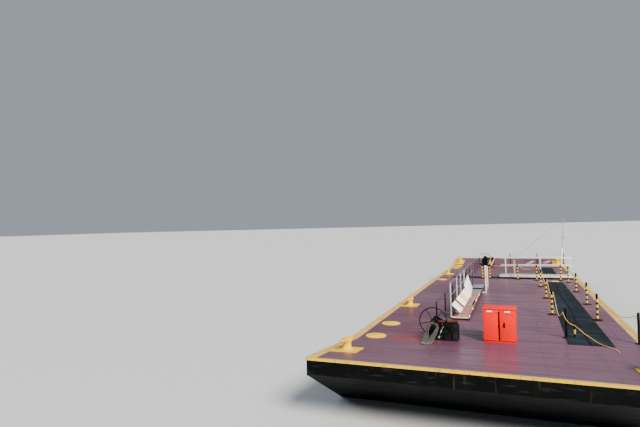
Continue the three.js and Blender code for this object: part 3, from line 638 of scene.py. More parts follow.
@dataclass(frozen=True)
class HullPaint(Finish):
    """Black hull paint with frames showing through, scum at the waterline, scuffs and rust runs."""

    name: str = "hull_paint"
    black: Triple = (0.0012, 0.0016, 0.0018)
    grey: Triple = (0.0035, 0.0045, 0.0050)
    scum: Triple = (0.010, 0.011, 0.008)
    waterline: float = 0.42
    frame_pitch: float = 0.61

    def material(self) -> Material:
        """Returns the hull paint's material."""
        s = Shader(self.name, 0.8, specular=0.05)
        x, y, z = s.axes()
        blots = s.blots(0.4, 0.7, 1.4, (1, 0.5, 1.6), detail=5.0)
        colour = s.mix(s.times(blots, 0.55), self.black, self.grey)
        scuffs = s.blots(0.56, 0.66, 0.5, (1, 0.10, 6.0), detail=6.0)
        colour = s.over(colour, scuffs, (0.016, 0.016, 0.017), 0.5)
        runs = s.blots(0.60, 0.72, 0.10, (1, 1, 0.06), detail=5.0)
        runs = s.times(runs, s.blots(0.45, 0.65, 1.8, detail=3.0))
        colour = s.over(colour, runs, RUST, 0.22)
        tide = s.plus(z, s.times(s.minus(s.noise(0.6, detail=5.0), 0.5), 0.25))
        wet = s.grade(tide, self.waterline, self.waterline + 0.22, 0.75, 0.0)
        colour = s.mix(wet, colour, self.scum)
        frames = s.math("SINE", s.times(s.plus(y, x), TURN / self.frame_pitch))
        s.relief(frames, 0.0022)
        s.grain(0.014, 1.1, detail=3.0)
        s.relief(s.pitch_lines(z, 1.22, 0.012, 0.01), 0.0025)
        s.grain(0.0006, 0.02, detail=3.0)
        return s.close(colour, s.grade(s.plus(blots, scuffs), 0, 1.5, 0.6, 0.85))


@dataclass(frozen=True)
class RibbedRubber(Finish):
    """Dark rubber matting with a lengthwise seam and light from the sky in its ribs."""

    name: str
    across: float
    rubber: Triple = (0.0022, 0.0045, 0.0062)
    pale: Triple = (0.020, 0.034, 0.048)

    def material(self) -> Material:
        """Returns the matting's material."""
        s = Shader(self.name, 0.75, specular=0.1)
        x, y, _ = s.axes()
        blots = s.blots(0.40, 0.66, 1.6, (1, 0.5, 1), detail=6.0)
        rows = s.blots(0.42, 0.64, 0.22, (0.12, 1.6, 1), detail=4.0)
        pale = s.times(s.plus(s.times(blots, 0.55), s.times(rows, 0.45)), 0.85)
        colour = s.mix(pale, self.rubber, self.pale)
        bend = s.times(s.math("SINE", s.times(y, 0.75)), 0.045)
        middle = s.math("ABSOLUTE", s.minus(s.minus(x, self.across), bend))
        seam = s.within(middle, -1.0, 0.026, 0.010)
        joints = s.pitch_lines(y, 1.22, 0.030, 0.012)
        gaps = s.most(seam, joints)
        colour = s.over(colour, gaps, (0.0004, 0.0005, 0.0006), 0.95)
        dust = s.blots(0.57, 0.75, 0.25, (0.4, 3, 1), detail=7.0, rough=0.7)
        colour = s.over(colour, dust, (0.10, 0.085, 0.075), 0.25)
        s.relief(s.math("SINE", s.times(y, TURN / 0.025)), 0.0009)
        s.relief(gaps, -0.003)
        s.grain(0.001, 0.05, detail=4.0)
        return s.close(colour, s.grade(blots, 0, 1, 0.55, 0.8))


@dataclass(frozen=True)
class BandedPlastic(Finish):
    """Plastic post with yellow bands on black, counted upwards from the deck."""

    name: str
    period: float = 0.215
    first: float = 0.0725
    band: float = 0.115
    top: float = 0.84
    yellow: Triple = (0.66, 0.41, 0.0)
    black: Triple = (0.0035, 0.0035, 0.004)

    def material(self) -> Material:
        """Returns the banded plastic's material."""
        s = Shader(self.name, 0.4, specular=0.15)
        z = s.axes()[2]
        above = s.minus(z, DECK.level + self.first)
        cell = s.math("FLOORED_MODULO", above, self.period)
        banded = s.within(cell, 0.001, self.band, 0.0015)
        inside = s.within(above, 0.0, self.top - self.first, 0.001)
        sun = s.blots(0.35, 0.7, 0.25, detail=5.0)
        yellow = s.mix(s.times(sun, 0.6), self.yellow, (0.70, 0.46, 0.030))
        colour = s.mix(s.times(banded, inside), self.black, yellow)
        grime = s.blots(0.52, 0.70, 0.06, (1, 1, 0.3), detail=7.0, rough=0.7)
        colour = s.over(colour, grime, (0.07, 0.055, 0.045), 0.4)
        s.grain(0.0004, 0.01, (1, 1, 0.2), detail=3.0)
        return s.close(colour, s.grade(grime, 0, 1, 0.34, 0.6))


@dataclass(frozen=True)
class Fibre(Finish):
    """Laid rope fibre with fuzz, dirt and sun-bleached stretches."""

    name: str
    colour: Triple
    bleached: Triple
    soil: Triple = (0.06, 0.045, 0.03)
    roughness: float = 0.85

    def material(self) -> Material:
        """Returns the fibre's material."""
        s = Shader(self.name, self.roughness)
        s.surface.inputs["Sheen Weight"].default_value = 0.3
        s.surface.inputs["Sheen Roughness"].default_value = 0.5
        long = s.blots(0.35, 0.68, 0.6, detail=4.0)
        colour = s.mix(long, self.colour, self.bleached)
        yarn = s.blots(0.4, 0.65, 0.006, detail=4.0, rough=0.7)
        colour = s.over(colour, yarn, self.soil, 0.4)
        soiled = s.blots(0.55, 0.72, 0.12, detail=6.0)
        colour = s.over(colour, soiled, self.soil, 0.55)
        s.grain(0.0012, 0.004, detail=3.0)
        return s.close(colour, s.grade(yarn, 0, 1, 0.7, 0.92))


@dataclass(frozen=True)
class BareMetal(Finish):
    """Dull mill metal with drawn lines, oxide blots and dirt."""

    name: str
    colour: Triple
    oxide: Triple
    metallic: float = 0.75
    roughness: float = 0.42

    def material(self) -> Material:
        """Returns the metal's material."""
        s = Shader(self.name, self.roughness, self.metallic)
        blots = s.blots(0.38, 0.7, 0.35, detail=6.0)
        colour = s.mix(blots, self.colour, self.oxide)
        stains = s.blots(0.57, 0.72, 0.10, (1, 1, 0.35), detail=7.0, rough=0.65)
        colour = s.over(colour, stains, (0.15, 0.12, 0.10), 0.5)
        s.grain(0.0003, 0.006, (0.08, 1, 1), detail=3.0)
        s.grain(0.001, 0.08, detail=4.0)
        return s.close(colour, s.grade(blots, 0, 1, self.roughness - 0.08, self.roughness + 0.16))


@dataclass(frozen=True)
class SlatPaint(Finish):
    """White panel paint in fine slats, with a tan stretch and a cream one past it."""

    name: str = "slat_paint"
    white: Triple = (0.86, 0.84, 0.80)
    tan: Triple = (0.70, 0.52, 0.30)
    cream: Triple = (0.82, 0.74, 0.62)
    groove: Triple = (0.42, 0.34, 0.28)

    def material(self) -> Material:
        """Returns the slats' material."""
        s = Shader(self.name, 0.55, specular=0.25)
        y = s.axes()[1]
        past = s.grade(y, DECK.along(11.7), DECK.along(11.8))
        colour = s.mix(past, self.white, self.cream)
        colour = s.mix(s.within(y, DECK.along(10.55), DECK.along(11.75), 0.03), colour, self.tan)
        colour = s.mix(s.within(y, DECK.along(9.40), DECK.along(9.58), 0.02), colour, (0.20, 0.10, 0.07))
        lines = s.pitch_lines(y, 0.248, 0.030, 0.012)
        colour = s.over(colour, lines, self.groove, 0.85)
        dirt = s.blots(0.5, 0.75, 0.2, detail=6.0)
        colour = s.over(colour, dirt, self.groove, 0.2)
        s.grain(0.0005, 0.02, detail=3.0)
        return s.close(colour)


@dataclass(frozen=True)
class Timber(Finish):
    """Weathered board with grain along the deck."""

    name: str = "weathered_board"
    colour: Triple = (0.50, 0.35, 0.27)
    dark: Triple = (0.17, 0.11, 0.085)

    def material(self) -> Material:
        """Returns the board's material."""
        s = Shader(self.name, 0.8)
        grain = s.noise(0.05, (1, 0.08, 1), detail=7.0, rough=0.7, warp=1.0)
        colour = s.mix(s.grade(grain, 0.42, 0.62), self.colour, self.dark)
        s.relief(grain, 0.002)
        return s.close(colour)


YELLOW = Enamel("yellow_enamel", (0.70, 0.43, 0.0), (0.76, 0.48, 0.0), rust=0.45)
LID = Enamel("lid_enamel", (0.74, 0.46, 0.006), (0.66, 0.42, 0.030), rust=0.5, dirt=0.4, roughness=0.5)
RED = Enamel("locker_enamel", (0.74, 0.001, 0.0), (0.72, 0.004, 0.002), rust=0.25, dirt=0.2, roughness=0.4)
BLACK = Enamel("black_enamel", (0.003, 0.0033, 0.004), (0.010, 0.011, 0.012), rust=0.5, dirt=0.2)
WHITE = Enamel("white_enamel", (0.96, 0.93, 0.90), (0.92, 0.87, 0.80), rust=0.3, dirt=0.14)
TAN = Enamel("tan_enamel", (0.38, 0.20, 0.155), (0.46, 0.28, 0.22), rust=0.5)
RUSTY = Enamel("rusty_bar", (0.060, 0.015, 0.012), (0.11, 0.034, 0.028), rust=1.0, roughness=0.7)
HULL = HullPaint()
PAINTED_DECK = DeckPaint()
EDGE = EdgePaint()
ALUMINIUM = BareMetal("mill_aluminium", (0.66, 0.64, 0.60), (0.52, 0.50, 0.46), 0.2)
GREY_DECKING = BareMetal("grey_decking", (0.22, 0.26, 0.30), (0.18, 0.20, 0.22), 0.3, 0.5)
ZINC = BareMetal("zinc", (0.66, 0.70, 0.70), (0.40, 0.44, 0.43), 0.8, 0.38)
WIRE = BareMetal("greased_wire", (0.10, 0.095, 0.09), (0.05, 0.04, 0.035), 0.7, 0.45)
BANDS = BandedPlastic("banded_plastic")
MARKER = BandedPlastic("marker_plastic", period=0.9, first=0.12, band=0.15, top=0.30)
ROPE = Fibre("yellow_rope", (0.60, 0.33, 0.004), (0.68, 0.44, 0.05))
OLIVE = Fibre("olive_hawser", (0.014, 0.0135, 0.009), (0.052, 0.048, 0.032), (0.006, 0.006, 0.005))
TAWNY = Fibre("tawny_hawser", (0.36, 0.19, 0.115), (0.52, 0.31, 0.20))
BOARD = Timber()
DARK_BEAM = Enamel("dark_beam", (0.060, 0.026, 0.026), (0.11, 0.060, 0.055), rust=0.6, roughness=0.6)
PALE_POST = BareMetal("pale_post", (0.44, 0.40, 0.44), (0.30, 0.28, 0.32), 0.2, 0.5)
PINKISH = BareMetal("pinkish_post", (0.74, 0.66, 0.68), (0.58, 0.50, 0.53), 0.1, 0.5)
TRUSS_GREY = BareMetal("truss_grey", (0.26, 0.25, 0.27), (0.17, 0.16, 0.18), 0.2, 0.5)
SHADED = Enamel("shaded_post", (0.050, 0.042, 0.050), (0.080, 0.068, 0.078), rust=0.5, roughness=0.6)
DULL_RAIL = BareMetal("dull_rail", (0.20, 0.24, 0.29), (0.14, 0.16, 0.19), 0.3, 0.5)
SILL = Enamel("sill_paint", (0.62, 0.44, 0.36), (0.50, 0.34, 0.27), rust=0.5, roughness=0.6)
SLATS = SlatPaint()
FLOOR_RED = Enamel("gangway_floor", (0.36, 0.13, 0.12), (0.46, 0.26, 0.24), rust=0.4, roughness=0.55)
STAGE_PAINT = (0.48, 0.50, 0.52)


class Socket(Enum):
    """Kinds of input on a recipe."""

    LENGTH = "NodeSocketFloat"
    COUNT = "NodeSocketInt"
    VECTOR = "NodeSocketVector"
    FINISH = "NodeSocketMaterial"


class Recipe(Nodes):
    """A Geometry Nodes tree with named inputs, which bakes to plain meshes."""

    name: str
    inputs: dict[str, Socket]

    def __init__(self) -> None:
        """Makes the tree, its inputs and its nodes."""
        self.tree = bpy.data.node_groups.new(self.name, "GeometryNodeTree")
        sides = [("Geometry", "INPUT", "NodeSocketGeometry"), ("Geometry", "OUTPUT", "NodeSocketGeometry")]
        given = {**self.inputs, "finish": Socket.FINISH}
        sides += [(label, "INPUT", kind.value) for label, kind in given.items()]
        self.keys = {}
        for label, side, kind in sides:
            item = self.tree.interface.new_socket(name=label, in_out=side, socket_type=kind)
            self.keys.setdefault(label, item.identifier)
        self.given = self.tree.nodes.new("NodeGroupInput").outputs
        self.build()

    def build(self) -> None:
        """Adds the tree's nodes."""
        raise NotImplementedError

    def close(self, geometry: Link, smooth: bool = True) -> None:
        """Realizes the instances, dresses them and ends the tree."""
        real = self.out("GeometryNodeRealizeInstances", {"Geometry": geometry})
        soft = self.out("GeometryNodeSetShadeSmooth", {"Geometry": real, "Shade Smooth": smooth})
        dressed = self.out("GeometryNodeSetMaterial", {"Geometry": soft, "Material": self.given["finish"]})
        self.add("NodeGroupOutput", {0: dressed})

    def scatter(self, points: Link, instance: Link, smooth: bool = False, **turn: Link) -> None:
        """Ends the tree with an instance on each point, turned and scaled where that is given."""
        inputs = {"Points": points, "Instance": instance, **turn}
        self.close(self.out("GeometryNodeInstanceOnPoints", inputs), smooth)

    def sweep(self, curve: Link, section: Link) -> Link:
        """Returns a section swept along a curve, with its ends closed."""
        inputs = {"Curve": curve, "Profile Curve": section, "Fill Caps": True}
        return self.out("GeometryNodeCurveToMesh", inputs)

    def bake(
        self, name: str, finish: Finish, slot: str, points: Iterable[Numbers], *nodes: str,
        path: bool = False, place: Matrix = Matrix(), body: str = BODY, **values: object,
    ) -> Piece:
        """Runs the tree on some points and makes a piece of the result.

        Args:
            name: The piece's name.
            finish: What covers it.
            slot: The record's material slot; not used.
            points: The points that the tree starts from.
            nodes: Frame nodes that it stands for.
            path: Whether the points are joined into a line.
            place: Where the result is carried.
            body: The body that it rides on.
            values: The tree's own inputs.

        Returns:
            The piece, at the origin.
        """
        spots = [tuple(p) for p in points]
        edges = [(i, i + 1) for i in range(len(spots) - 1)] if path else []
        seed = bpy.data.meshes.new(name + "_seed")
        seed.from_pydata(spots, edges, [])
        holder = linked(name + "_holder", seed)
        modifier = holder.modifiers.new("recipe", "NODES")
        modifier.node_group = self.tree
        for label, value in {**values, "finish": finish_of(finish)}.items():
            modifier[self.keys[label]] = value
        graph = bpy.context.evaluated_depsgraph_get()
        mesh = bpy.data.meshes.new_from_object(holder.evaluated_get(graph), depsgraph=graph)
        holder.modifiers.remove(modifier)
        bpy.data.objects.remove(holder)
        mesh.name = name
        mesh.transform(place)
        return fitted(name, mesh, nodes, body)


class LaidRope(Recipe):
    """A three-strand rope laid along a path."""

    name = "laid_rope"
    inputs = {"radius": Socket.LENGTH, "lay": Socket.LENGTH, "groove": Socket.LENGTH}

    def build(self) -> None:
        """Sweeps a three-lobed section that turns once in each lay."""
        given, steps_in_lay, sides = self.given, 9.0, 18
        curve = self.out("GeometryNodeMeshToCurve", {"Mesh": given["Geometry"]})
        step = self.math("DIVIDE", given["lay"], steps_in_lay)
        inputs = {"Curve": curve, "Length": step}
        curve = self.out("GeometryNodeResampleCurve", inputs, mode="LENGTH")
        reach = self.add("GeometryNodeSplineParameter").outputs["Length"]
        tilt = self.times(self.math("DIVIDE", reach, given["lay"]), TURN)
        curve = self.out("GeometryNodeSetCurveTilt", {"Curve": curve, "Tilt": tilt})
        inputs = {"Resolution": sides, "Radius": given["radius"]}
        ring = self.out("GeometryNodeCurvePrimitiveCircle", inputs)
        place = self.out("GeometryNodeInputPosition")
        axes = self.add("ShaderNodeSeparateXYZ", {0: place}).outputs
        lobes = self.math("COSINE", self.times(self.math("ARCTAN2", axes[1], axes[0]), 3.0))
        depth = self.times(self.minus(lobes, 1.0), given["groove"])
        shift = self.out("ShaderNodeVectorMath", {0: place, "Scale": depth}, operation="SCALE")
        ring = self.out("GeometryNodeSetPosition", {"Geometry": ring, "Offset": shift})
        self.close(self.sweep(curve, ring))


class Studs(Recipe):
    """Bolt heads or rivets, one on each point, facing one way."""

    name = "studs"
    inputs = {"sides": Socket.COUNT, "radius": Socket.LENGTH, "height": Socket.LENGTH,
              "facing": Socket.VECTOR}

    def build(self) -> None:
        """Stands a tapered head on each point."""
        given = self.given
        crown = self.times(given["radius"], 0.82)
        head = self.out("GeometryNodeMeshCone", {
            "Vertices": given["sides"], "Radius Top": crown, "Radius Bottom": given["radius"],
            "Depth": given["height"],
        })
        turn = self.out("FunctionNodeAlignRotationToVector", {"Vector": given["facing"]}, axis="Z")
        dots = self.out("GeometryNodeMeshToPoints", {"Mesh": given["Geometry"]})
        self.scatter(dots, head, Rotation=turn)


class Rungs(Recipe):
    """Bars laid across a path at an even pitch, such as ribs, treads and battens."""

    name = "rungs"
    inputs = {"pitch": Socket.LENGTH, "size": Socket.VECTOR, "lean": Socket.LENGTH, "taper": Socket.LENGTH}

    def build(self) -> None:
        """Lays a leaned bar on each point of the path, each shorter than the last by the taper."""
        given = self.given
        curve = self.out("GeometryNodeMeshToCurve", {"Mesh": given["Geometry"]})
        share = self.add("GeometryNodeSplineParameter").outputs["Factor"]
        inputs = {"Geometry": curve, "Name": "share", "Value": share}
        curve = self.out("GeometryNodeStoreNamedAttribute", inputs, data_type="FLOAT")
        inputs = {"Curve": curve, "Length": given["pitch"]}
        spots = self.add("GeometryNodeCurveToPoints", inputs, mode="LENGTH").outputs
        bar = self.out("GeometryNodeMeshCube", {"Size": given["size"]})
        tilt = self.out("ShaderNodeCombineXYZ", {0: given["lean"]})
        bar = self.out("GeometryNodeTransform", {"Geometry": bar, "Rotation": tilt})
        turn = self.out("FunctionNodeAlignRotationToVector", {"Vector": spots["Tangent"]}, axis="Y")
        share = self.out("GeometryNodeInputNamedAttribute", {"Name": "share"}, data_type="FLOAT")
        wide = self.minus(1.0, self.times(share, given["taper"]))
        scale = self.out("ShaderNodeCombineXYZ", {0: wide, 1: 1.0, 2: 1.0})
        self.scatter(spots["Points"], bar, Rotation=turn, Scale=scale)


class Teeth(Recipe):
    """Gear teeth round the upright axis of each point."""

    name = "teeth"
    inputs = {"count": Socket.COUNT, "radius": Socket.LENGTH, "size": Socket.VECTOR}

    def build(self) -> None:
        """Stands a tooth at even angles on a circle."""
        given = self.given
        ring = self.out("GeometryNodeMeshCircle", {"Vertices": given["count"], "Radius": given["radius"]})
        tooth = self.out("GeometryNodeMeshCube", {"Size": given["size"]})
        place = self.out("GeometryNodeInputPosition")
        turn = self.out("FunctionNodeAlignRotationToVector", {"Vector": place}, axis="X")
        inputs = {"Points": ring, "Instance": tooth, "Rotation": turn}
        wheel = self.out("GeometryNodeInstanceOnPoints", inputs)
        self.scatter(given["Geometry"], wheel)


class Windings(Recipe):
    """Turns of wire round the upright axis of each point."""

    name = "windings"
    inputs = {"turns": Socket.LENGTH, "radius": Socket.LENGTH, "wire": Socket.LENGTH, "height": Socket.LENGTH}

    def build(self) -> None:
        """Sweeps a round wire along a level helix."""
        given = self.given
        spiral = self.out("GeometryNodeCurveSpiral", {
            "Resolution": 40, "Rotations": given["turns"], "Start Radius": given["radius"],
            "End Radius": given["radius"], "Height": given["height"],
        })
        inputs = {"Resolution": 8, "Radius": given["wire"]}
        ring = self.out("GeometryNodeCurvePrimitiveCircle", inputs)
        self.scatter(given["Geometry"], self.sweep(spiral, ring), smooth=True)


@dataclass
class Recipes:
    """The repeating shapes, built once."""

    rope: LaidRope = field(default_factory=LaidRope)
    studs: Studs = field(default_factory=Studs)
    rungs: Rungs = field(default_factory=Rungs)
    teeth: Teeth = field(default_factory=Teeth)
    windings: Windings = field(default_factory=Windings)


def camera_axes(pitch: float, yaw: float, roll: float) -> Matrix:
    """Gives a camera's turn.

    Args:
        pitch: Angle up from level, in radians.
        yaw: Angle to port of dead ahead, in radians.
        roll: Angle about the line of sight, in radians.

    Returns:
        The turn, as a matrix whose columns are right, up and back.
    """
    turn = Matrix.Rotation(yaw, 3, "Z") @ Matrix.Rotation(pitch, 3, "X") @ Matrix.Rotation(-roll, 3, "Y")
    columns = (turn @ Vector((1, 0, 0)), turn @ Vector((0, 0, 1)), turn @ Vector((0, -1, 0)))
    return Matrix(columns).transposed()


@dataclass
class Stage:
    """The camera, the soft studio light and the pale floor at the waterline."""

    eye: Triple = (0.927, -30.616, 6.156)
    pitch: float = 0.025016
    yaw: float = 0.387577
    roll: float = -0.0255688
    lens: float = 27.0
    sensor: float = 36.0
    waterline: float = 0.42
    floor_reach: float = 900.0
    sky: Triple = (0.74, 0.82, 0.92)
    sky_strength: float = 0.45
    key_from: Triple = (0.62, -0.62, 0.62)
    key_strength: float = 10.5
    fill_from: Triple = (-0.9, -0.1, 0.55)
    fill_strength: float = 1.0

    def place_camera(self) -> None:
        """Makes the camera and looks through it."""
        lens = bpy.data.cameras.new("camera")
        lens.lens = self.lens
        lens.sensor_width = self.sensor
        lens.clip_end = 2 * self.floor_reach
        camera = linked("camera", lens)
        turn = camera_axes(self.pitch, self.yaw, self.roll).to_4x4()
        camera.matrix_world = Matrix.Translation(self.eye) @ turn
        bpy.context.scene.camera = camera

    def light(self) -> None:
        """Adds the pale surround and two broad lamps."""
        world = bpy.data.worlds.new("studio")
        world.use_nodes = True
        background = world.node_tree.nodes["Background"]
        background.inputs[0].default_value = (*self.sky, 1.0)
        background.inputs[1].default_value = self.sky_strength
        bpy.context.scene.world = world
        lamps = [
            ("key", self.key_from, self.key_strength, (1.0, 0.93, 0.84)),
            ("fill", self.fill_from, self.fill_strength, (0.86, 0.93, 1.0)),
        ]
        for name, source, strength, colour in lamps:
            sun = bpy.data.lights.new(name, "SUN")
            sun.energy = strength
            sun.angle = math.radians(20)
            sun.color = colour
            lamp = linked(name, sun)
            lamp.rotation_mode = "QUATERNION"
            lamp.rotation_quaternion = Vector(source).to_track_quat("Z", "Y")

    def lay_floor(self) -> None:
        """Lays the floor that the hull sinks into at its waterline."""
        r, z = self.floor_reach, self.waterline
        mesh = bpy.data.meshes.new("floor")
        mesh.from_pydata([(-r, -r, z), (r, -r, z), (r, r, z), (-r, r, z)], [], [(0, 1, 2, 3)])
        shader = Shader("floor_paint", 0.55)
        mesh.materials.append(shader.close(STAGE_PAINT))
        floor = linked("floor", mesh)


def smooth_route(points: Sequence[Vector], steps: int = 12) -> list[Vector]:
    """Draws the centripetal curve through some points.

    Args:
        points: The points that the curve passes through.
        steps: Number of steps between two points.

    Returns:
        The points of the curve.
    """
    ends = [2 * points[0] - points[1], *points, 2 * points[-1] - points[-2]]
    route = [points[0]]
    for a, b, c, d in zip(ends, ends[1:], ends[2:], ends[3:]):
        gaps = [max(1e-4, (q - p).length ** 0.5) for p, q in ((a, b), (b, c), (c, d))]
        enter = (b - a) / gaps[0] - (c - a) / (gaps[0] + gaps[1]) + (c - b) / gaps[1]
        leave = (c - b) / gaps[1] - (d - b) / (gaps[1] + gaps[2]) + (d - c) / gaps[2]
        enter, leave = enter * gaps[1], leave * gaps[1]
        for step in range(1, steps + 1):
            t = step / steps
            route.append(
                b * (2 * t**3 - 3 * t**2 + 1) + enter * (t**3 - 2 * t**2 + t)
                + c * (3 * t**2 - 2 * t**3) + leave * (t**3 - t**2)
            )
    return route


def length_of(route: Sequence[Vector]) -> float:
    """Returns the length of a line of points."""
    return sum((b - a).length for a, b in zip(route, route[1:]))


@dataclass
class GuardRopes:
    """Yellow ropes hung from post to post, each point given across, from aft and above the deck."""

    recipes: Recipes
    radius: float = 0.013
    lay: float = 0.085
    groove: float = 0.11
    cross: tuple = (
        (-0.882, 23.500, 0.950), (-0.740, 23.455, 0.922), (-0.500, 23.390, 0.896), (-0.150, 23.325, 0.880),
        (0.150, 23.270, 0.880), (0.450, 23.205, 0.898), (0.700, 23.150, 0.924), (0.890, 23.114, 0.950),
        (1.040, 23.090, 0.860), (1.200, 23.062, 0.775), (1.400, 23.020, 0.715), (1.600, 22.970, 0.705),
        (1.770, 22.920, 0.755), (1.910, 22.865, 0.845), (2.010, 22.815, 0.950),
    )
    inboard: tuple = (
        (2.117, 22.815, 0.950), (2.185, 22.100, 0.730), (2.215, 21.250, 0.640), (2.228, 20.350, 0.740),
        (2.223, 19.530, 0.950), (2.260, 18.600, 0.690), (2.275, 17.300, 0.560), (2.280, 15.900, 0.700),
        (2.276, 14.930, 0.950), (2.290, 13.750, 0.640), (2.290, 12.600, 0.545), (2.280, 11.300, 0.660),
        (2.261, 10.290, 0.950), (2.272, 9.690, 0.800), (2.285, 8.900, 0.530), (2.290, 8.250, 0.400),
        (2.290, 7.480, 0.457), (2.285, 6.540, 0.690), (2.279, 5.992, 0.859), (2.277, 5.950, 0.861),
        (2.280, 5.908, 0.858), (2.372, 5.878, 0.630), (2.500, 5.950, 0.485), (2.620, 6.046, 0.420),
        (2.766, 5.900, 0.322), (2.880, 5.700, 0.228), (3.035, 5.500, 0.150), (3.140, 5.350, 0.092),
        (3.235, 5.200, 0.050), (3.330, 5.060, 0.030), (3.420, 4.940, 0.028), (3.520, 4.780, 0.016),
        (3.610, 4.560, 0.016), (3.650, 4.320, 0.016),
    )
    outboard: tuple = (
        (4.402, 5.697, 0.880), (4.370, 5.810, 0.862), (4.325, 6.020, 0.795), (4.250, 6.420, 0.690),
        (4.170, 7.000, 0.610), (4.080, 7.600, 0.595), (3.980, 8.300, 0.660), (3.880, 9.000, 0.820),
        (3.824, 9.440, 0.950), (3.890, 10.250, 0.690), (3.920, 11.150, 0.545), (3.925, 12.300, 0.680),
        (3.923, 13.330, 0.950), (3.935, 14.300, 0.690), (3.940, 15.450, 0.570), (3.930, 16.600, 0.700),
        (3.919, 17.610, 0.950), (3.935, 18.650, 0.700), (3.940, 19.800, 0.580), (3.935, 21.000, 0.710),
        (3.924, 22.010, 0.950),
    )

    def build(self) -> None:
        for name, length, points in (("cross", 3.12, self.cross), ("inboard", 20.1, self.inboard),
                                     ("outboard", 16.7, self.outboard)):
            route = smooth_route([Vector((x, DECK.along(d), DECK.level + z)) for x, d, z in points])
            LOG.info("rope_%s is %.2f m long", name, length_of(route))
            rope = self.recipes.rope.bake(
                f"laid_rope_{name}", ROPE, "yellow_rope", route, f"rope_{name}", path=True,
                radius=self.radius, lay=self.lay, groove=self.groove,
            )


@dataclass
class Hawser:
    """A mooring line coiled into long loops: tight on a winch's horn and fanned out on the deck."""

    recipes: Recipes
    name: str
    finish: Fibre
    slot: str
    across: float
    from_aft: float
    hank_at: float
    hook_at: float
    length: float
    radius: float = 0.0170
    lay: float = 0.12
    groove: float = 0.10
    turns: int = 5
    bundle: float = 0.034
    fan: Pair = (-0.034, 0.038)
    middle: Pair = (-0.165, -0.95)
    loop: tuple = (
        (0, -0.600, 0.075), (-0.100, -0.602, 0.040), (-0.170, -0.615, -0.060),
        (-0.220, -0.660, -0.200), (-0.270, -0.740, -0.360), (-0.310, -0.860, -0.475),
        (-0.330, -1.000, -0.520), (-0.290, -1.130, -0.520), (-0.200, -1.170, -0.520),
        (-0.110, -1.110, -0.520), (-0.060, -0.980, -0.505), (-0.020, -0.860, -0.460),
        (0.030, -0.740, -0.340), (0.080, -0.660, -0.200), (0.120, -0.615, -0.060), (0.090, -0.602, 0.040),
    )

    def floor(self, forward: float) -> float:
        """Returns the deck's height over the winch's own base plane, at a distance forward of it."""
        y = DECK.along(self.from_aft)
        slope = DECK.slope(y)
        rise = DECK.height(y + forward * math.cos(slope)) - DECK.height(y)
        return rise * math.cos(slope) - forward * math.sin(slope)

    def route(self) -> list[Vector]:
        """Returns the hawser's whole path, one loop after another, in the winch's frame."""
        points = [Vector(p) for p in self.loop]
        ring = smooth_route(points[-2:] + points + points[:2], 6)[12:109]
        count = len(ring) - 1
        route: list[Vector] = []
        for turn in range(self.turns):
            for i, point in enumerate(ring[:-1]):
                number = turn + (0.0 if turn == self.turns - 1 else eased(4 * i / count - 3))
                ahead = (ring[i + 1] - ring[i - 1 if i else count - 1]).normalized()
                across = Vector((0, 0.85, -0.5))
                across = (across - ahead * across.dot(ahead)).normalized()
                up = ahead.cross(across)
                angle = TURN * number / self.turns - math.pi / 2
                if turn % 2 == 0 and across.y < 0:
                    angle = -angle
                low = eased((-0.06 - point.z) / 0.34)
                centre = Vector((self.middle[0], max(point.y, self.middle[1]), point.z))
                inward = (centre - point).normalized()
                shift = self.fan[0] + self.fan[1] * number
                bunched = (across * math.cos(angle) + up * math.sin(angle)) * self.bundle
                place = point + bunched * (1 - low) + inward * shift * low
                rest = self.floor(place.y) + self.radius + 0.002
                route.append(Vector((place.x + self.hank_at, place.y, max(place.z + self.hook_at, rest))))
        return route

    def build(self) -> None:
        place = DECK.square(self.across, self.from_aft)
        route = smooth_route([place @ p for p in self.route()], 2)
        LOG.info("%s is %.2f m long", self.name, length_of(route))
        hank = self.recipes.rope.bake(
            f"{self.name}_line", self.finish, self.slot, route, self.name, path=True,
            radius=self.radius, lay=self.lay, groove=self.groove,
        )
        end, before = route[-1], route[-4]
        back = (before - end).normalized()
        form = Form().rod(end + back * 0.07, end - back * 0.004, self.radius * 1.1, 20)
        whipping = form.piece(f"{self.name}_whipping", BLACK, self.slot, bevel=0.002)


class Assembly:
    """Pieces that share a frame of their own, a slot and the start of their names."""

    across: float
    from_aft: float
    slot: str
    prefix = ""

    def place(self) -> Matrix:
        """Returns the place of the assembly's own frame, square on the deck."""
        return DECK.square(self.across, self.from_aft)

    def fit(self, form: Form, label: str, finish: Finish, *nodes: str, **look: object) -> None:
        """Makes a piece of a form that stands in the assembly's own frame.

        Args:
            form: The form.
            label: The end of the piece's name.
            finish: What covers it.
            nodes: Frame nodes that it stands for.
            look: Its bevel, smooth angle and body.
        """
        form.piece(self.prefix + label, finish, self.slot, *nodes, place=self.place(), **look)

    def repeat(
        self, recipe: Recipe, label: str, finish: Finish, points: Sequence, place: Matrix = Matrix(),
        **values: object,
    ) -> None:
        """Makes a piece of what repeats on the assembly.

        Args:
            recipe: The recipe.
            label: The end of the piece's name.
            finish: What covers it.
            points: The points that it starts from.
            place: Where they stand in the assembly's own frame.
            values: The recipe's own inputs, and the body.
        """
        recipe.bake(self.prefix + label, finish, self.slot, points, place=self.place() @ place, **values)


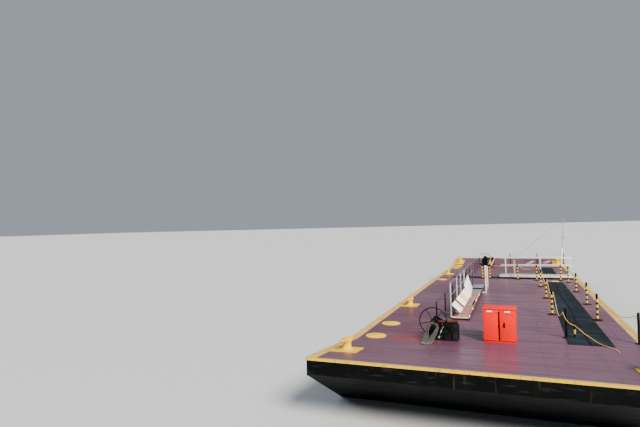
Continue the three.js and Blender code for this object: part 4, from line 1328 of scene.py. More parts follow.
@dataclass
class Kevel(Assembly):
    """A cruciform kevel: a waisted post with a fore and aft horn on a welded plate."""

    name: str
    across: float
    from_aft: float
    plate: Triple = (0.80, 0.82, 0.025)
    slot = "safety_yellow"

    def build(self) -> None:
        """Makes the kevel at its place."""
        wide, long, thick = self.plate
        form = Form().block((-wide / 2, wide / 2), (-long / 2, long / 2), (0, thick))
        form.turned([
            (0.190, thick - 0.003), (0.186, 0.034), (0.160, 0.060), (0.134, 0.090), (0.122, 0.125),
            (0.119, 0.170), (0.122, 0.215), (0.136, 0.255), (0.155, 0.285), (0.168, 0.310),
            (0.168, 0.330), (0.156, 0.348), (0.130, 0.358), (0.07, 0.360),
        ], 40)
        stations = [
            (0.600, 0.020, 0.014, 0.352), (0.588, 0.036, 0.030, 0.342), (0.540, 0.046, 0.040, 0.330),
            (0.420, 0.052, 0.050, 0.314), (0.270, 0.058, 0.058, 0.302), (0.120, 0.060, 0.061, 0.298),
            (0.0, 0.060, 0.061, 0.298),
        ]
        stations += [(-y, w, h, z) for y, w, h, z in reversed(stations[:-1])]
        form.loft([self.section(*station) for station in stations])
        self.fit(form, self.name + "_cast", YELLOW, self.name, smooth=50)

    @staticmethod
    def section(y: float, half_wide: float, half_high: float, middle: float) -> list[Vector]:
        """Returns a rounded section of the horn at a station, flattened on its sides."""
        points, sides = [], 20
        for i in range(sides):
            c, s = math.cos(TURN * i / sides), math.sin(TURN * i / sides)
            x = half_wide * math.copysign(abs(c) ** 0.7, c)
            z = half_high * math.copysign(abs(s) ** 0.7, s)
            points.append(Vector((x, y, middle + z)))
        return points


@dataclass
class Bitts(Assembly):
    """Double bitts, one post behind the other, at a corner of the head deck."""

    name: str
    across: float
    from_aft: float = 34.35
    spacing: float = 0.85
    slot = "safety_yellow"

    def build(self) -> None:
        """Makes the bitts at their place."""
        form = Form().block((-0.345, 0.345), (-0.94, 0.94), (0, 0.025))
        profile = [
            (0.140, 0.020), (0.140, 0.376), (0.150, 0.382), (0.158, 0.390), (0.160, 0.402),
            (0.160, 0.420), (0.152, 0.431), (0.10, 0.435),
        ]
        for y in (-self.spacing / 2, self.spacing / 2):
            form.turned(profile, 36, Matrix.Translation((0, y, 0)))
        self.fit(form, self.name + "_cast", YELLOW, self.name, bevel=0.003)


@dataclass
class Manholes:
    """Round flush covers with a bolted rim and two lifting bars."""

    recipes: Recipes
    places: tuple = (
        (-3.890, 4.53, 0.370), (-3.890, 6.77, 0.370), (-4.050, 22.32, 0.355), (-4.125, 31.13, 0.355),
        (-4.040, 32.60, 0.355), (3.145, 22.40, 0.230),
    )

    def build(self) -> None:
        """Makes each cover and its ring of bolts."""
        for number, (across, from_aft, r) in enumerate(self.places, 1):
            place = DECK.square(across, from_aft)
            form = Form().turned([
                (r, 0), (r, 0.008), (r - 0.006, 0.013), (r - 0.07, 0.014), (r - 0.075, 0.010),
                (r - 0.085, 0.010), (r - 0.09, 0.013), (0.05, 0.014), (0.046, 0.022), (0.02, 0.024),
            ], 72)
            grip = 0.43 * r
            for side in (-grip, grip):
                form.bent([
                    (side, -0.06, 0.010), (side, -0.055, 0.019), (side, -0.04, 0.021),
                    (side, 0.04, 0.021), (side, 0.055, 0.019), (side, 0.06, 0.010),
                ], 0.003)
            form.piece(f"cover_{number}", LID, "safety_yellow", f"manhole_cover_{number}",
                       place=place, smooth=35)
            self.recipes.studs.bake(
                f"cover_bolts_{number}", LID, "safety_yellow", around(r - 0.035, 20, 0.0135),
                facing=(0, 0, 1), place=place, sides=6, radius=0.014, height=0.009,
            )


@dataclass
class Locker(Assembly):
    """Steel deck locker with two doors that face aft."""

    recipes: Recipes
    across: float = 0.305
    from_aft: float = 4.65
    width: float = 1.02
    door: float = 0.030
    slot = "locker_red"

    def place(self) -> Matrix:
        """Returns the place of the locker's own frame, upright on the deck."""
        return DECK.upright(self.across, self.from_aft)

    def build(self) -> None:
        """Dresses the shell and each door."""
        Form().node("locker").piece("locker_shell", RED, self.slot, "locker", bevel=0.006)
        for side, name in ((-1, "port"), (1, "starboard")):
            node = f"locker_door_{name}"
            Form().node(node).piece(node + "_leaf", RED, self.slot, node, bevel=0.003, body=f"{name}_door")
            self.dress_door(side, name)

    def dress_door(self, side: int, name: str) -> None:
        """Adds a door's pressed ridges, blank plate, rivets and latch.

        Args:
            side: -1 to port of the locker's middle and 1 to starboard.
            name: The side's name.
        """
        body, face, half = f"{name}_door", -self.door, self.width / 2
        ridge = [(side * 0.03, face - 0.001, 1.015), (side * (half - 0.03), face - 0.001, 0.915)]
        form = Form().bent(ridge, 0.009, 10)
        border = [(0.02, 0.085), (half - 0.03, 0.085), (half - 0.03, 1.06), (0.02, 1.06), (0.02, 0.085)]
        form.bent([(side * a, face, z) for a, z in border], 0.005, 8)
        for z in (0.30, 0.60):
            form.bent([(side * 0.06, face, z), (side * (half - 0.07), face, z)], 0.004, 8)
        self.fit(form, f"door_ridges_{name}", RED, smooth=60, body=body)
        middle = side * (0.245 if side > 0 else 0.315)
        form = Form().block((middle - 0.088, middle + 0.088), (face - 0.007, face + 0.001), (1.008, 1.048))
        self.fit(form, f"blank_plate_{name}", WHITE, bevel=0.002, body=body)
        hinge = side * (half - 0.028)
        spots = [(hinge, face - 0.0002, z + dz) for z in (0.2, 0.56, 0.9) for dz in (0.014, 0.036)]
        spots += [(middle + dx, face - 0.0068, 1.028) for dx in (-0.075, 0.075)]
        self.repeat(self.recipes.studs, f"door_rivets_{name}", RED, spots, facing=(0, -1, 0),
                    sides=8, radius=0.006, height=0.004, body=body)
        if side < 0:
            form = Form().block((-0.034, 0.001), (face - 0.012, face - 0.0005), (0.09, 1.03))
            form.block((-0.03, -0.006), (face - 0.024, face - 0.010), (0.52, 0.60))
        else:
            form = Form().block((0.12, 0.165), (face - 0.006, face + 0.001), (0.50, 0.67))
            grip = [(0, 0.53), (0.03, 0.54), (0.035, 0.585), (0.03, 0.63), (0, 0.64)]
            form.bent([(0.142, face - out, z) for out, z in grip], 0.008, 12)
        form.piece(f"door_latch_{name}", BLACK, "winch_black", place=self.place(), bevel=0.0015, body=body)


@dataclass
class Winch(Assembly):
    """A hand winch with an open gear, its drum and its handwheel."""

    recipes: Recipes
    end: str
    across: float
    from_aft: float
    drum: Pair = (-0.020, 0.330)
    pinion: Pair = (-0.190, 0.655)
    gear_radius: float = 0.278
    pinion_radius: float = 0.083
    gear_span: Pair = (-0.225, -0.165)
    gear_teeth: int = 62
    pinion_teeth: int = 18
    cheek: float = 0.260
    brake_at: float = -0.315
    wheel_radius: float = 0.460
    wheel_at: float = -0.400
    rim: float = 0.0175
    spokes: int = 5
    slot = "winch_black"

    @property
    def prefix(self) -> str:
        """Returns the start of the pieces' names."""
        return f"winch_{self.end}_"

    def build(self) -> None:
        """Makes the winch's frame, drum and handwheel and their fittings."""
        self.dress_frame()
        self.dress_drum()
        self.dress_wheel()

    def axle(self, centre: Pair, y: float) -> Matrix:
        """Returns the place of a turned part whose axis runs aft to forward, from a station forward."""
        return Matrix.Translation((centre[0], y, centre[1])) @ Matrix.Rotation(-math.pi / 2, 4, "X")

    def dress_frame(self) -> None:
        """Adds the bevelled frame, bearings, bolts, stiffeners, brake lever and turnbuckle."""
        node = f"winch_{self.end}_frame"
        Form().node(node).piece(node + "_plates", BLACK, self.slot, node, bevel=0.004)
        form = Form()
        for y, outward in ((-self.cheek, -1), (self.cheek, 1)):
            for centre, shaft in ((self.drum, 0.0354), (self.pinion, 0.0254)):
                self.collar(form, centre, y, outward, shaft)
            for x in (-0.36, 0.14, 0.42):
                edges = sorted((y - outward * 0.001, y + outward * 0.045))
                form.block((x - 0.006, x + 0.006), edges, (0.016, 0.30))
        form.block((0.30, 0.56), (-0.2, 0.2), (0.017, 0.09))
        self.fit(form, "bearings", BLACK, bevel=0.0015, smooth=45)
        spots = [(x, y, 0.016) for x in (-0.54, -0.18, 0.2, 0.54) for y in (-0.295, 0.295)]
        self.repeat(self.recipes.studs, "bolts", BLACK, spots, facing=(0, 0, 1),
                    sides=6, radius=0.019, height=0.018)
        tip = (0.55, self.brake_at, 0.672)
        bar = Form().rod((-0.03, -0.325, 0.640), tip, 0.040, 20)
        bar.turned([(0.040, 0), (0.050, 0.012), (0.050, 0.030), (0.040, 0.042)], 24, quarter("Y", *tip))
        bar.block((0.08, 0.12), (-0.34, -0.255), (0.47, 0.64))
        self.fit(bar, "lever", RUSTY, bevel=0.002, smooth=45)
        foot, head = Vector((-0.02, self.brake_at, 0.13)), Vector((0.10, self.brake_at, 0.43))
        screw = Form().rod(foot, head, 0.009, 12)
        for share, reach in ((0.30, 0.08), (0.52, 0.10)):
            low = foot.lerp(head, share)
            screw.rod(low, low + Vector((0.10, 0, 0.30)).normalized() * reach, 0.022, 6)
        for x, z in ((-0.025, 0.112), (0.108, 0.452)):
            screw.hoop(0.026, 0.008, quarter("X", x, self.brake_at, z), 24)
        screw.block((-0.04, -0.01), (-0.32, -0.255), (0.07, 0.10))
        screw.block((0.095, 0.125), (-0.32, -0.255), (0.465, 0.50))
        self.fit(screw, "turnbuckle", ZINC, bevel=0.001, smooth=45)

    def collar(self, form: Form, centre: Pair, y: float, outward: int, shaft: float) -> None:
        """Adds an open bearing ring on a cheek.

        Args:
            form: The form that it joins.
            centre: The shaft's place across and up.
            y: The cheek's outer face.
            outward: -1 on the aft cheek and 1 on the forward one.
            shaft: Radius of the shaft.
        """
        turn = Matrix.Translation((centre[0], y, centre[1])) @ Matrix.Rotation(-outward * math.pi / 2, 4, "X")
        section = ((0.042, 0.0), (0.040, 0.012), (0.018, 0.026), (0.016, 0.034), (0.002, 0.034), (0.002, 0.0))
        circles = [around(shaft + out, 32, height) for out, height in section]
        form.loft([[turn @ spot for spot in ring] for ring in zip(*circles)], closed=True)

    def dress_drum(self) -> None:
        """Makes the drum with its flanges, gear teeth and wire."""
        body = f"{self.end}_drum"
        low, high = self.gear_span
        wide, root = high - low, self.gear_radius - 0.024
        form = Form().turned([(0.035, 0), (0.035, 0.560)], 32, self.axle(self.drum, -0.280))
        gear = [(root - 0.006, 0), (root, 0.006), (root, wide - 0.006), (root - 0.006, wide)]
        form.turned(gear, 96, self.axle(self.drum, low))
        form.turned([(0.11, 0), (0.11, 0.3)], 40, self.axle(self.drum, high - 0.05))
        for y in (-0.139, 0.197):
            flange = [(0.205, 0), (0.215, 0.004), (0.215, 0.014), (0.205, 0.018)]
            form.turned(flange, 56, self.axle(self.drum, y))
        self.fit(form, "barrel", BLACK, f"winch_{self.end}_drum", smooth=35, body=body)
        middle = self.axle(self.drum, (low + high) / 2)
        self.repeat(self.recipes.teeth, "gear_teeth", BLACK, ORIGIN, middle, count=self.gear_teeth,
                    radius=self.gear_radius - 0.014, size=(0.026, 0.012, wide - 0.004), body=body)
        self.repeat(self.recipes.windings, "wire", WIRE, ORIGIN, self.axle(self.drum, -0.112),
                    turns=14.0, radius=0.1195, wire=0.0098, height=0.30, body=body)
        self.repeat(self.recipes.studs, "gear_bolts", BLACK, around(0.17, 8), self.axle(self.drum, low),
                    facing=(0, 0, -1), sides=6, radius=0.014, height=0.012, body=body)

    def dress_wheel(self) -> None:
        """Makes the handwheel with its shaft, spokes and pinion teeth."""
        body = f"{self.end}_handwheel"
        radius, aft, low, high = self.wheel_radius, self.wheel_at, *self.gear_span
        form = Form().hoop(radius, self.rim, self.axle(self.pinion, aft), 96, 14)
        hub = [(0.042, 0), (0.050, 0.006), (0.050, 0.074), (0.042, 0.080)]
        form.turned(hub, 32, self.axle(self.pinion, aft - 0.040))
        form.turned([(0.025, 0), (0.025, 0.680)], 28, self.axle(self.pinion, aft))
        root = self.pinion_radius - 0.020
        form.turned([(root, 0), (root, high - low)], 32, self.axle(self.pinion, low))
        x, z = self.pinion
        for i in range(self.spokes):
            angle = math.radians(120) + TURN * i / self.spokes
            tip = (x + radius * math.cos(angle), aft, z + radius * math.sin(angle))
            form.rod((x, aft, z), tip, 0.0135, 12, 0.0105)
        self.fit(form, "wheel", BLACK, f"winch_{self.end}_handwheel", body=body)
        middle = self.axle(self.pinion, (low + high) / 2)
        self.repeat(self.recipes.teeth, "pinion_teeth", BLACK, ORIGIN, middle, count=self.pinion_teeth,
                    radius=self.pinion_radius - 0.012, size=(0.020, 0.012, high - low - 0.004), body=body)


@dataclass(frozen=True)
class Mat:
    """A ribbed mat on the level deck, with its port and starboard edges at both ends."""

    name: str
    from_aft: Pair
    aft: Pair
    head: Pair

    def under(self, across: float, from_aft: float, base: float) -> bool:
        """Returns whether a round base reaches over the mat."""
        share = (from_aft - self.from_aft[0]) / (self.from_aft[1] - self.from_aft[0])
        port, starboard = (a + (h - a) * share for a, h in zip(self.aft, self.head))
        return 0 < share < 1 and across + base > port and across - base < starboard


MATS = (
    Mat("walkway_mat", (5.00, 21.95), (2.34, 3.66), (2.55, 3.56)),
    Mat("walkway_mat_head", (26.40, 32.00), (2.35, 3.55), (2.40, 3.55)),
    Mat("cross_mat", (23.45, 24.65), (-3.45, 3.55), (-3.45, 3.55)),
)
MAT_THICK = 0.012


@dataclass
class Walkways:
    """Rubber mats with cast ribs."""

    recipes: Recipes

    def build(self) -> None:
        """Dresses each mat and lays its ribs."""
        for mat in MATS:
            wide, seam = mat.aft[1] - mat.aft[0], sum(mat.head) / 2 if mat.aft[0] > 0 else 99.0
            rubber = RibbedRubber(mat.name + "_rubber", seam - 0.075)
            Form().node(mat.name).piece(mat.name + "_sheet", rubber, "rubber_mat", mat.name, bevel=0.003)
            ends = ((mat.aft, mat.from_aft[0] + 0.03), (mat.head, mat.from_aft[1] - 0.03))
            path = [(sum(edges) / 2, DECK.along(d), DECK.level + GAP + MAT_THICK) for edges, d in ends]
            self.recipes.rungs.bake(
                mat.name + "_ribs", rubber, "rubber_mat", path, path=True, pitch=0.15,
                size=(wide - 0.05, 0.050, 0.005), lean=0.0, taper=1 - (mat.head[1] - mat.head[0]) / wide,
            )


@dataclass
class Posts:
    """Portable stanchions and the single posts on the deck."""

    stanchions: tuple = (
        ("inboard_1", 2.207, 10.290), ("inboard_2", 2.222, 14.930), ("inboard_3", 2.169, 19.530),
        ("inboard_4", 2.062, 22.815), ("outboard_1", 3.770, 9.440), ("outboard_2", 3.869, 13.330),
        ("outboard_3", 3.865, 17.610), ("outboard_4", 3.869, 22.010), ("mat_end", 3.500, 22.880),
        ("cross_1", -1.410, 23.500), ("cross_2", -0.930, 23.500), ("cross_3", 0.890, 23.170),
    )
    singles: tuple = (
        ("hook_post_inboard", "post_black", 2.375, 5.950, 1.000, 0.042, 0.110),
        ("hook_post_outboard", "post_black", 4.415, 5.650, 1.000, 0.042, 0.110),
        ("marker_post", "striped_plastic", 2.640, 6.100, 0.535, 0.032, 0.110),
        ("vent_post", "vent_tan", 0.660, 26.350, 1.060, 0.080, 0.150),
    )
    foot: float = 0.190
    peg_at: float = 0.822

    def place(self, across: float, from_aft: float, base: float) -> Matrix:
        """Returns the place of a post on the deck, or on a mat that its base reaches over."""
        on_mat = any(mat.under(across, from_aft, base) for mat in MATS)
        return DECK.upright(across, from_aft, MAT_THICK + 2 * GAP if on_mat else GAP)

    def build(self) -> None:
        """Makes every post."""
        stanchion = [
            (0.186, 0), (0.190, 0.006), (0.188, 0.018), (0.170, 0.026), (0.075, 0.030), (0.050, 0.036),
            (0.042, 0.046), (0.0415, 0.052), (0.0415, 0.985), (0.0455, 0.990), (0.046, 1.020),
            (0.040, 1.034), (0.020, 1.040),
        ]
        for name, across, from_aft in self.stanchions:
            place = self.place(across, from_aft, self.foot)
            form = Form().turned(stanchion, 32, place)
            form.piece(f"post_{name}", BANDS, "striped_plastic", f"stanchion_{name}", smooth=35)
        finishes = {"post_black": BLACK, "striped_plastic": MARKER, "vent_tan": TAN}
        for name, slot, across, from_aft, height, radius, base in self.singles:
            place = self.place(across, from_aft, base)
            form = Form().turned([
                (base, 0), (base, 0.012), (base - 0.004, 0.018), (radius + 0.012, 0.020), (radius, 0.032),
                (radius, height - 0.012), (radius - 0.008, height - 0.002), (radius * 0.4, height),
            ], 36, place)
            if slot == "post_black":
                peg = [place @ Vector((x, 0, self.peg_at)) for x in (0, -0.113)]
                form.rod(*peg, 0.009, 16)
                form.hoop(0.009, 0.003, place @ quarter("Y", -0.111, 0, self.peg_at), 20, 6)
            form.piece(name + "_turned", finishes[slot], slot, name, smooth=35)


@dataclass
class GuardPosts:
    """Rows of dark posts joined by a taut wire."""

    across: float = -2.2
    stations: tuple = (7.65, 10.20, 12.97, 15.15, 17.40, 19.94, 22.40, 25.14, 27.29, 29.35, 31.74)
    head_across: tuple = (0.32, 2.47, 4.49)
    head_from_aft: float = 32.8

    def build(self) -> None:
        """Makes both rows."""
        port = [(self.across, station) for station in self.stations]
        head = [(across, self.head_from_aft) for across in self.head_across]
        self.row("port_guard_posts", port, 0.79, 0.0305)
        self.row("head_guard_posts", head, 1.05, 0.038)

    def row(self, node: str, places: list, height: float, radius: float) -> None:
        """Makes one row.

        Args:
            node: The frame node that it stands for.
            places: Distance across and from aft of each post.
            height: Height of the posts above the deck.
            radius: Radius of the posts.
        """
        form = Form()
        eyes = []
        for across, from_aft in places:
            place = DECK.upright(across, from_aft, 0.0)
            top = [(radius, height - 0.01), (radius - 0.006, height - 0.002), (radius * 0.5, height)]
            form.turned([(radius, 0.006), *top], 20, place)
            form.hoop(radius + 0.004, 0.006, DECK.square(across, from_aft, 0.006), 24, 6)
            eyes.append(place @ Vector((0, 0, height - 0.03)))
        for a, b in zip(eyes, eyes[1:]):
            form.rod(a, b, 0.005, 8)
        form.piece(node + "_row", BLACK, "post_black", node)


@dataclass
class Jackstaff:
    """A tall staff on the starboard head deck, which leans a little, with a stay to port."""

    across: float = 4.33
    from_aft: float = 33.05
    lean: float = 0.300
    height: float = 4.08
    slot: str = "staff_white"

    def at(self, up: float, aside: float = 0.0) -> Vector:
        """Returns the point of the staff's axis at a height above the deck."""
        place = DECK.upright(self.across, self.from_aft, 0.0)
        return place @ Vector((self.lean * up / self.height + aside, 0, up))

    def build(self) -> None:
        """Makes the staff, its foot, its light and its stay."""
        foot = DECK.square(self.across, self.from_aft, 0.0)
        form = Form().turned([(0.085, 0.004), (0.085, 0.022), (0.075, 0.028), (0.050, 0.030)], 28, foot)
        form.rod(self.at(0.01), self.at(1.48), 0.045, 28)
        form.rod(self.at(1.47), self.at(1.51), 0.049, 28)
        form.piece("staff_lower", WHITE, self.slot, "jackstaff")
        form = Form().rod(self.at(1.50), self.at(4.06), 0.027, 24, 0.022)
        form.rod(self.at(4.05), self.at(4.078), 0.026, 24)
        form.piece("staff_upper", TAN, self.slot)
        form = Form().rod(self.at(2.30, 0.05), self.at(2.40, 0.05), 0.035, 20)
        form.rod(self.at(2.33), self.at(2.33, 0.05), 0.012, 12)
        form.piece("staff_light", BLACK, self.slot, bevel=0.002)
        eye = DECK.upright(0.62, 35.9, 0.0)
        form = Form().rod(self.at(4.02), eye @ Vector((0, 0, 0.06)), 0.014, 10)
        form.turned([(0.030, 0.004), (0.030, 0.068), (0.022, 0.075)], 20, eye)
        form.piece("staff_stay", ZINC, self.slot)


@dataclass
class Gangway(Assembly):
    """A gangway, whose places are counted across, from aft and above the foot it stands on."""

    recipes: Recipes
    lift: float = GAP
    bevel: float = 0.0015
    slot = "gangway_aluminium"
    prefix = "gangway_"

    def place(self) -> Matrix:
        """Returns the place of the gangway's own frame."""
        return Matrix.Translation((0, DECK.along(0), DECK.level + self.lift))

    def treads(self, label: str, finish: Finish, ends: Sequence[Triple], size: Triple) -> None:
        """Lays treads of a size at an even pitch from one end of a line to the other."""
        self.repeat(self.recipes.rungs, label, finish, ends, path=True, pitch=0.3, size=size, lean=0.0)


@dataclass
class CrossGangway(Gangway):
    """Aluminium gangway laid across the deck on its mat."""

    lift: float = 0.0126
    x: Pair = (-0.270, 4.330)
    y: Pair = (23.600, 24.560)
    toe: float = 0.230
    floor: Pair = (0.150, 0.180)
    posts: tuple = (0.120, 2.350, 4.170)
    rails: Pair = (-0.200, 4.270)
    heights: Pair = (0.880, 1.400)

    def build(self) -> None:
        """Makes the beams, floor, rails and bolts, and the lower webs in black as painted shadow."""
        form, shadow_strip = Form(), Form()
        for edge, inward in ((self.y[0], 1), (self.y[1], -1)):
            web = sorted((edge, edge + inward * 0.012))
            lip = sorted((edge, edge + inward * 0.055))
            form.block(self.x, web, (0.095, self.toe - 0.006))
            # The lower web and its foot are black as painted shadow under the lit upper web.
            shadow_strip.block(self.x, web, (0.006, 0.096)).block(self.x, lip, (0.0, 0.012))
            form.block(self.x, lip, (self.toe - 0.012, self.toe))
            rail = edge + inward * 0.0275
            clamp = sorted((edge + inward * 0.008, edge + inward * 0.050))
            for x in self.posts:
                form.rod((x, rail, 0.16), (x, rail, self.heights[1]), 0.025, 20)
                form.block((x - 0.04, x + 0.04), clamp, (0.05, 0.20))
            for z in self.heights:
                form.rod((self.rails[0], rail, z), (self.rails[1], rail, z), 0.025, 20)
        form.block(self.x, (self.y[0] + 0.011, self.y[1] - 0.011), self.floor)
        self.fit(form, "across_frame", ALUMINIUM, "gangway_across", bevel=self.bevel)
        self.fit(shadow_strip, "across_shoe", BLACK, bevel=self.bevel)
        ends = [(x, sum(self.y) / 2, self.floor[1] + 0.003) for x in (self.x[0] + 0.05, self.x[1] - 0.05)]
        self.treads("across_treads", ALUMINIUM, ends, (self.y[1] - self.y[0] - 0.12, 0.030, 0.010))
        spots = [(self.x[0] + 0.25 + 0.41 * i, z) for i in range(11) for z in (0.06, 0.175)]
        for label, edge, outward in (("aft", self.y[0], -1), ("head", self.y[1], 1)):
            rows = [(x, edge - outward * 0.001, z) for x, z in spots]
            self.repeat(self.recipes.studs, f"across_bolts_{label}", ZINC, rows, facing=(0, outward, 0),
                        sides=6, radius=0.012, height=0.008)


@dataclass
class LengthwiseGangway(Gangway):
    """Gangway laid lengthwise to port, with a low truss, a kick rail and two plates."""

    x: Pair = (-1.725, -0.960)
    y: Pair = (8.150, 19.300)
    truss: float = -1.305
    truss_y: Pair = (8.20, 15.65)
    bays: int = 16
    chords: Pair = (0.090, 0.285)
    posts: tuple = (8.20, 10.48, 12.12, 13.78, 15.52, 17.26, 19.10)
    rails: Pair = (0.980, 1.500)
    starboard_posts: tuple = ((-0.770, 16.10, 1.54), (-0.845, 19.15, 1.24))
    floor: Pair = (0.060, 0.080)
    floor_y: Pair = (8.15, 15.72)
    notch_y: Pair = (11.5, 13.0)
    notch_x: float = -1.16
    plates_y: tuple = ((15.76, 17.00), (17.75, 19.30))
    kick_rail: tuple = ((-0.985, 8.15, 0.165), (-1.045, 14.65, 0.165))
    sockets: tuple = (8.25, 10.05, 12.45, 14.55)

    @property
    def inner(self) -> Pair:
        """Returns the port and starboard edges of what lies between the beams."""
        return self.x[0] + 0.051, self.x[1] - 0.051

    def build(self) -> None:
        """Makes every part of the gangway."""
        self.dress_frame()
        self.dress_rails()
        self.dress_floor()
        self.dress_small_parts()

    def dress_frame(self) -> None:
        """Makes the two beams and the low truss."""
        form = Form().block((self.x[0], self.x[0] + 0.05), self.y, (0, 0.11))
        form.block((self.x[1] - 0.05, self.x[1]), self.y, (0, 0.11))
        self.fit(form, "beams", DARK_BEAM, "gangway_lengthwise", bevel=self.bevel)
        form = Form()
        aft, head = self.truss_y
        for z in self.chords:
            form.rod((self.truss, aft, z), (self.truss, head, z), 0.014, 12)
        knots = [aft + i * (head - aft) / self.bays for i in range(self.bays + 1)]
        for i, (start, end) in enumerate(zip(knots, knots[1:])):
            low, high = self.chords if i % 2 == 0 else reversed(self.chords)
            form.rod((self.truss, start, low), (self.truss, end, high), 0.009, 8)
        self.fit(form, "truss", TRUSS_GREY, bevel=self.bevel)

    def dress_rails(self) -> None:
        """Makes the port posts and handrail, and the rail to starboard with its two posts."""
        rail_x = self.x[0] + 0.025
        runs = (("pale", self.posts[:4], PALE_POST), ("shaded", self.posts[4:], SHADED))
        for name, stations, finish in runs:
            form = Form()
            for station in stations:
                form.rod((rail_x, station, 0.08), (rail_x, station, self.rails[1]), 0.028, 20)
                form.block((rail_x - 0.03, rail_x + 0.045), (station - 0.045, station + 0.045), (0.09, 0.13))
            self.fit(form, f"posts_{name}", finish, bevel=self.bevel)
        form = Form()
        for z in self.rails:
            form.rod((rail_x, self.posts[0], z), (rail_x, self.posts[-1], z), 0.0140, 16)
        self.fit(form, "port_rail", DULL_RAIL)
        form = Form().rod((-0.775, 16.10, 0.03), (-0.850, 19.15, 0.03), 0.012, 12)
        for x, station, height in self.starboard_posts:
            form.rod((x, station, 0), (x, station, height), 0.040, 24)
            form.block((self.x[1] - 0.02, x), (station - 0.02, station + 0.02), (0.02, 0.07))
        form.rod(*((x, station, height - 0.02) for x, station, height in self.starboard_posts), 0.020, 16)
        self.fit(form, "rails", PINKISH, bevel=self.bevel)

    def dress_floor(self) -> None:
        """Makes the floor with its notch to starboard, the treads and the two plates."""
        port, starboard = self.inner
        split, (aft, head), (start, end) = self.truss + 0.02, self.floor_y, self.notch_y
        floor = Form().block((port, split), self.floor_y, self.floor)
        bays = ((starboard, (aft, start)), (self.notch_x, self.notch_y), (starboard, (end, head)))
        for edge, reach in bays:
            floor.block((split, edge), reach, self.floor)
        self.fit(floor, "floor", FLOOR_RED, bevel=0.002)
        middle = (port + starboard) / 2
        self.treads("treads", FLOOR_RED, [(middle, 8.3, 0.082), (middle, 11.4, 0.082)],
                    (starboard - port - 0.02, 0.028, 0.010))
        plates = Form()
        for reach in self.plates_y:
            plates.block((port, starboard), reach, (0.070, 0.095))
            for x in (port + 0.012, starboard - 0.012):
                plates.block((x - 0.012, x + 0.012), reach, (0.093, 0.120))
        self.fit(plates, "plates", GREY_DECKING, bevel=0.002)

    def dress_small_parts(self) -> None:
        """Makes the black strips under the floor, which are painted shadow, the dark strips on the floor, the
        sill, and the kick rail with its sockets.
        """
        port, starboard = self.inner
        # Black blocks below the floor's aft edge, at its head end and in the notch are painted shadow.
        under = Form().block((port, starboard), (8.155, 8.19), (0.002, 0.070))
        under.block((port + 0.001, self.truss), (8.22, 8.31), (0.079, 0.096))
        under.block((-0.985, -1.035), (15.722, 15.755), (0.002, 0.080))
        under.block((self.truss + 0.02, starboard), self.notch_y, (0.004, 0.012))
        for station in (9.15, 10.15, 11.15, 13.4, 14.4):
            under.block((port + 0.01, self.truss), (station, station + 0.06), (0.079, 0.090))
        self.fit(under, "under", BLACK)
        sill = Form().block((port, starboard), (8.150, 8.20), (0.070, 0.110))
        sill.block((port + 0.001, self.truss), (8.34, 8.42), (0.079, 0.096))
        self.fit(sill, "sill", SILL, bevel=0.003)
        aft, head = self.kick_rail
        rail = Form().rod(aft, head, 0.011, 14)
        self.fit(rail, "kick_rail", PALE_POST, smooth=45)
        kick = Form()
        knob = [(0.024, -0.022), (0.030, -0.012), (0.031, 0), (0.030, 0.014), (0.022, 0.025)]
        for station in self.sockets:
            x = aft[0] + (head[0] - aft[0]) * (station - aft[1]) / (head[1] - aft[1])
            kick.rod((x, station, 0.08), (x, station, 0.150), 0.018, 14)
            kick.turned(knob, 20, Matrix.Translation((x, station, aft[2])))
        self.fit(kick, "kick_posts", WHITE, bevel=0.001, smooth=45)


@dataclass
class Panels:
    """Hatch panels that lean on the lengthwise gangway's truss and posts."""

    recipes: Recipes
    proud: float = 0.004
    inset: float = 0.07

    def build(self) -> None:
        """Dresses the three panels and lays battens on the slatted one."""
        for node, finish in (("plain_panel", WHITE), ("slatted_panel", SLATS), ("tall_panel", WHITE)):
            Form().node(node).piece(node + "_sheet", finish, "white_panel", node, bevel=0.004)
        self.batten("slatted_panel", "panel_louvres")

    def upper_face(self, node: str) -> tuple[Vector, Vector]:
        """Returns the lower and upper corners of a leaning panel's upper face, in end view."""
        points = {(round(v.co.x, 4), round(v.co.z, 4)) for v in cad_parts[node].data.vertices}
        ranked = sorted(points, key=lambda p: p[1])
        low, high = max(ranked[:2]), max(ranked[-2:])
        return Vector((low[0], 0, low[1])), Vector((high[0], 0, high[1]))

    def batten(self, node: str, name: str) -> None:
        """Lays fine battens up the slant of a panel at an even pitch.

        Args:
            node: The panel's frame node.
            name: The name of the battens' piece.
        """
        aft, head = (corner.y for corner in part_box(node))
        low, high = self.upper_face(node)
        slant, up, forward = (high - low).length, (high - low).normalized(), Vector((0, 1, 0))
        normal = up.cross(forward)
        out = normal if normal.z > 0 else -normal
        middle = low.lerp(high, 0.5) + out * self.proud
        middle.y = (aft + head) / 2
        reach = (head - aft) / 2 - self.inset
        turn = Matrix((up, forward, normal)).transposed().to_4x4()
        self.recipes.rungs.bake(
            name, SLATS, "white_panel", [(0, -reach, 0), (0, reach, 0)], path=True, pitch=0.062,
            size=(slant - 0.05, 0.022, 0.016), lean=0.35, place=Matrix.Translation(middle) @ turn,
        )


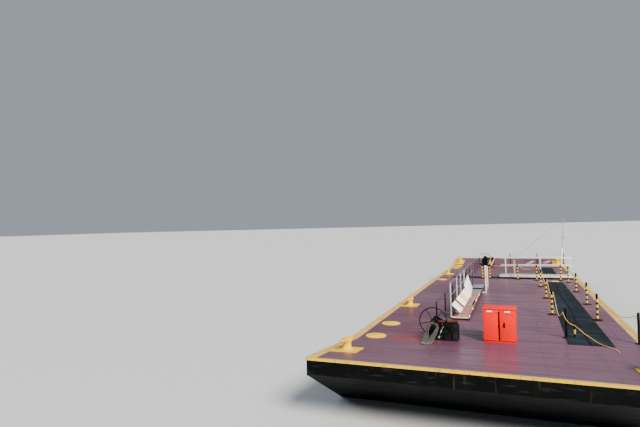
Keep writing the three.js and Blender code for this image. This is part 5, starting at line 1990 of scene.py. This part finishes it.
@dataclass
class Boards:
    """Two boards that lie on the head deck."""

    boards: tuple = (((1.42, 32.56), (2.20, 34.97)), ((3.02, 33.9), (3.62, 35.2)))
    wide: float = 0.28
    thick: float = 0.045

    def build(self) -> None:
        """Lays the boards on the sloping deck."""
        form = Form()
        for start, end in self.boards:
            a = DECK.square(*start) @ Vector((0, 0, 0.001))
            b = DECK.square(*end) @ Vector((0, 0, 0.001))
            ahead = (b - a).normalized()
            side = ahead.cross(Vector((0, 0, 1))).normalized() * self.wide / 2
            lift = side.cross(ahead).normalized() * self.thick
            form.loft([[p - side, p + side, p + side + lift, p - side + lift] for p in (a, b)])
        form.piece("deck_boards", BOARD, "vent_tan", bevel=0.004)


def dress_frame_nodes() -> None:
    """Gives the frame nodes that stay their finish."""
    for name, finish in (("hull", HULL), ("deck", PAINTED_DECK), ("gunwale_port", EDGE),
                         ("gunwale_starboard", EDGE), ("gunwale_aft", EDGE), ("gunwale_head", EDGE)):
        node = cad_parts[name]
        node.data.materials.clear()
        node.data.materials.append(finish_of(finish))
        LOG.info("%s wears %s", name, finish.name)


def main() -> None:
    """Builds the stage, the ropes and every sub-assembly; the ropes and hawsers log their built lengths."""
    logging.basicConfig(level=logging.INFO, format="%(message)s")
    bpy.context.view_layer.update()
    stage = Stage()
    stage.place_camera()
    recipes = Recipes()
    GuardRopes(recipes).build()
    winches = [Winch(recipes, "aft", -1.62, 4.75), Winch(recipes, "head", -1.615, 33.4)]
    hanks = ((OLIVE, -0.15, 0.56, 10.6), (TAWNY, 0.50, 0.70, 10.6))
    for winch, (finish, hank_at, hook_at, length) in zip(winches, hanks):
        Hawser(recipes, f"hawser_{winch.end}", finish, f"{winch.end}_hawser", winch.across, winch.from_aft,
               hank_at, hook_at, length).build()
    dress_frame_nodes()
    kevels = [("port_1", -4.0, 1.68), ("port_2", -4.02, 11.2), ("port_3", -4.1, 26.0)]
    kevels += [("starboard_1", 4.0, 1.68)]
    parts = [*winches, *(Kevel(f"kevel_{name}", across, from_aft) for name, across, from_aft in kevels),
             Bitts("bitts_port", -4.06), Bitts("bitts_starboard", 4.06), Manholes(recipes), Locker(recipes),
             Walkways(recipes), Posts(), GuardPosts(), Jackstaff(), CrossGangway(recipes),
             LengthwiseGangway(recipes), Panels(recipes), Boards()]
    for part in parts:
        part.build()
    stage.light()
    stage.lay_floor()


if __name__ == "__main__":
    main()
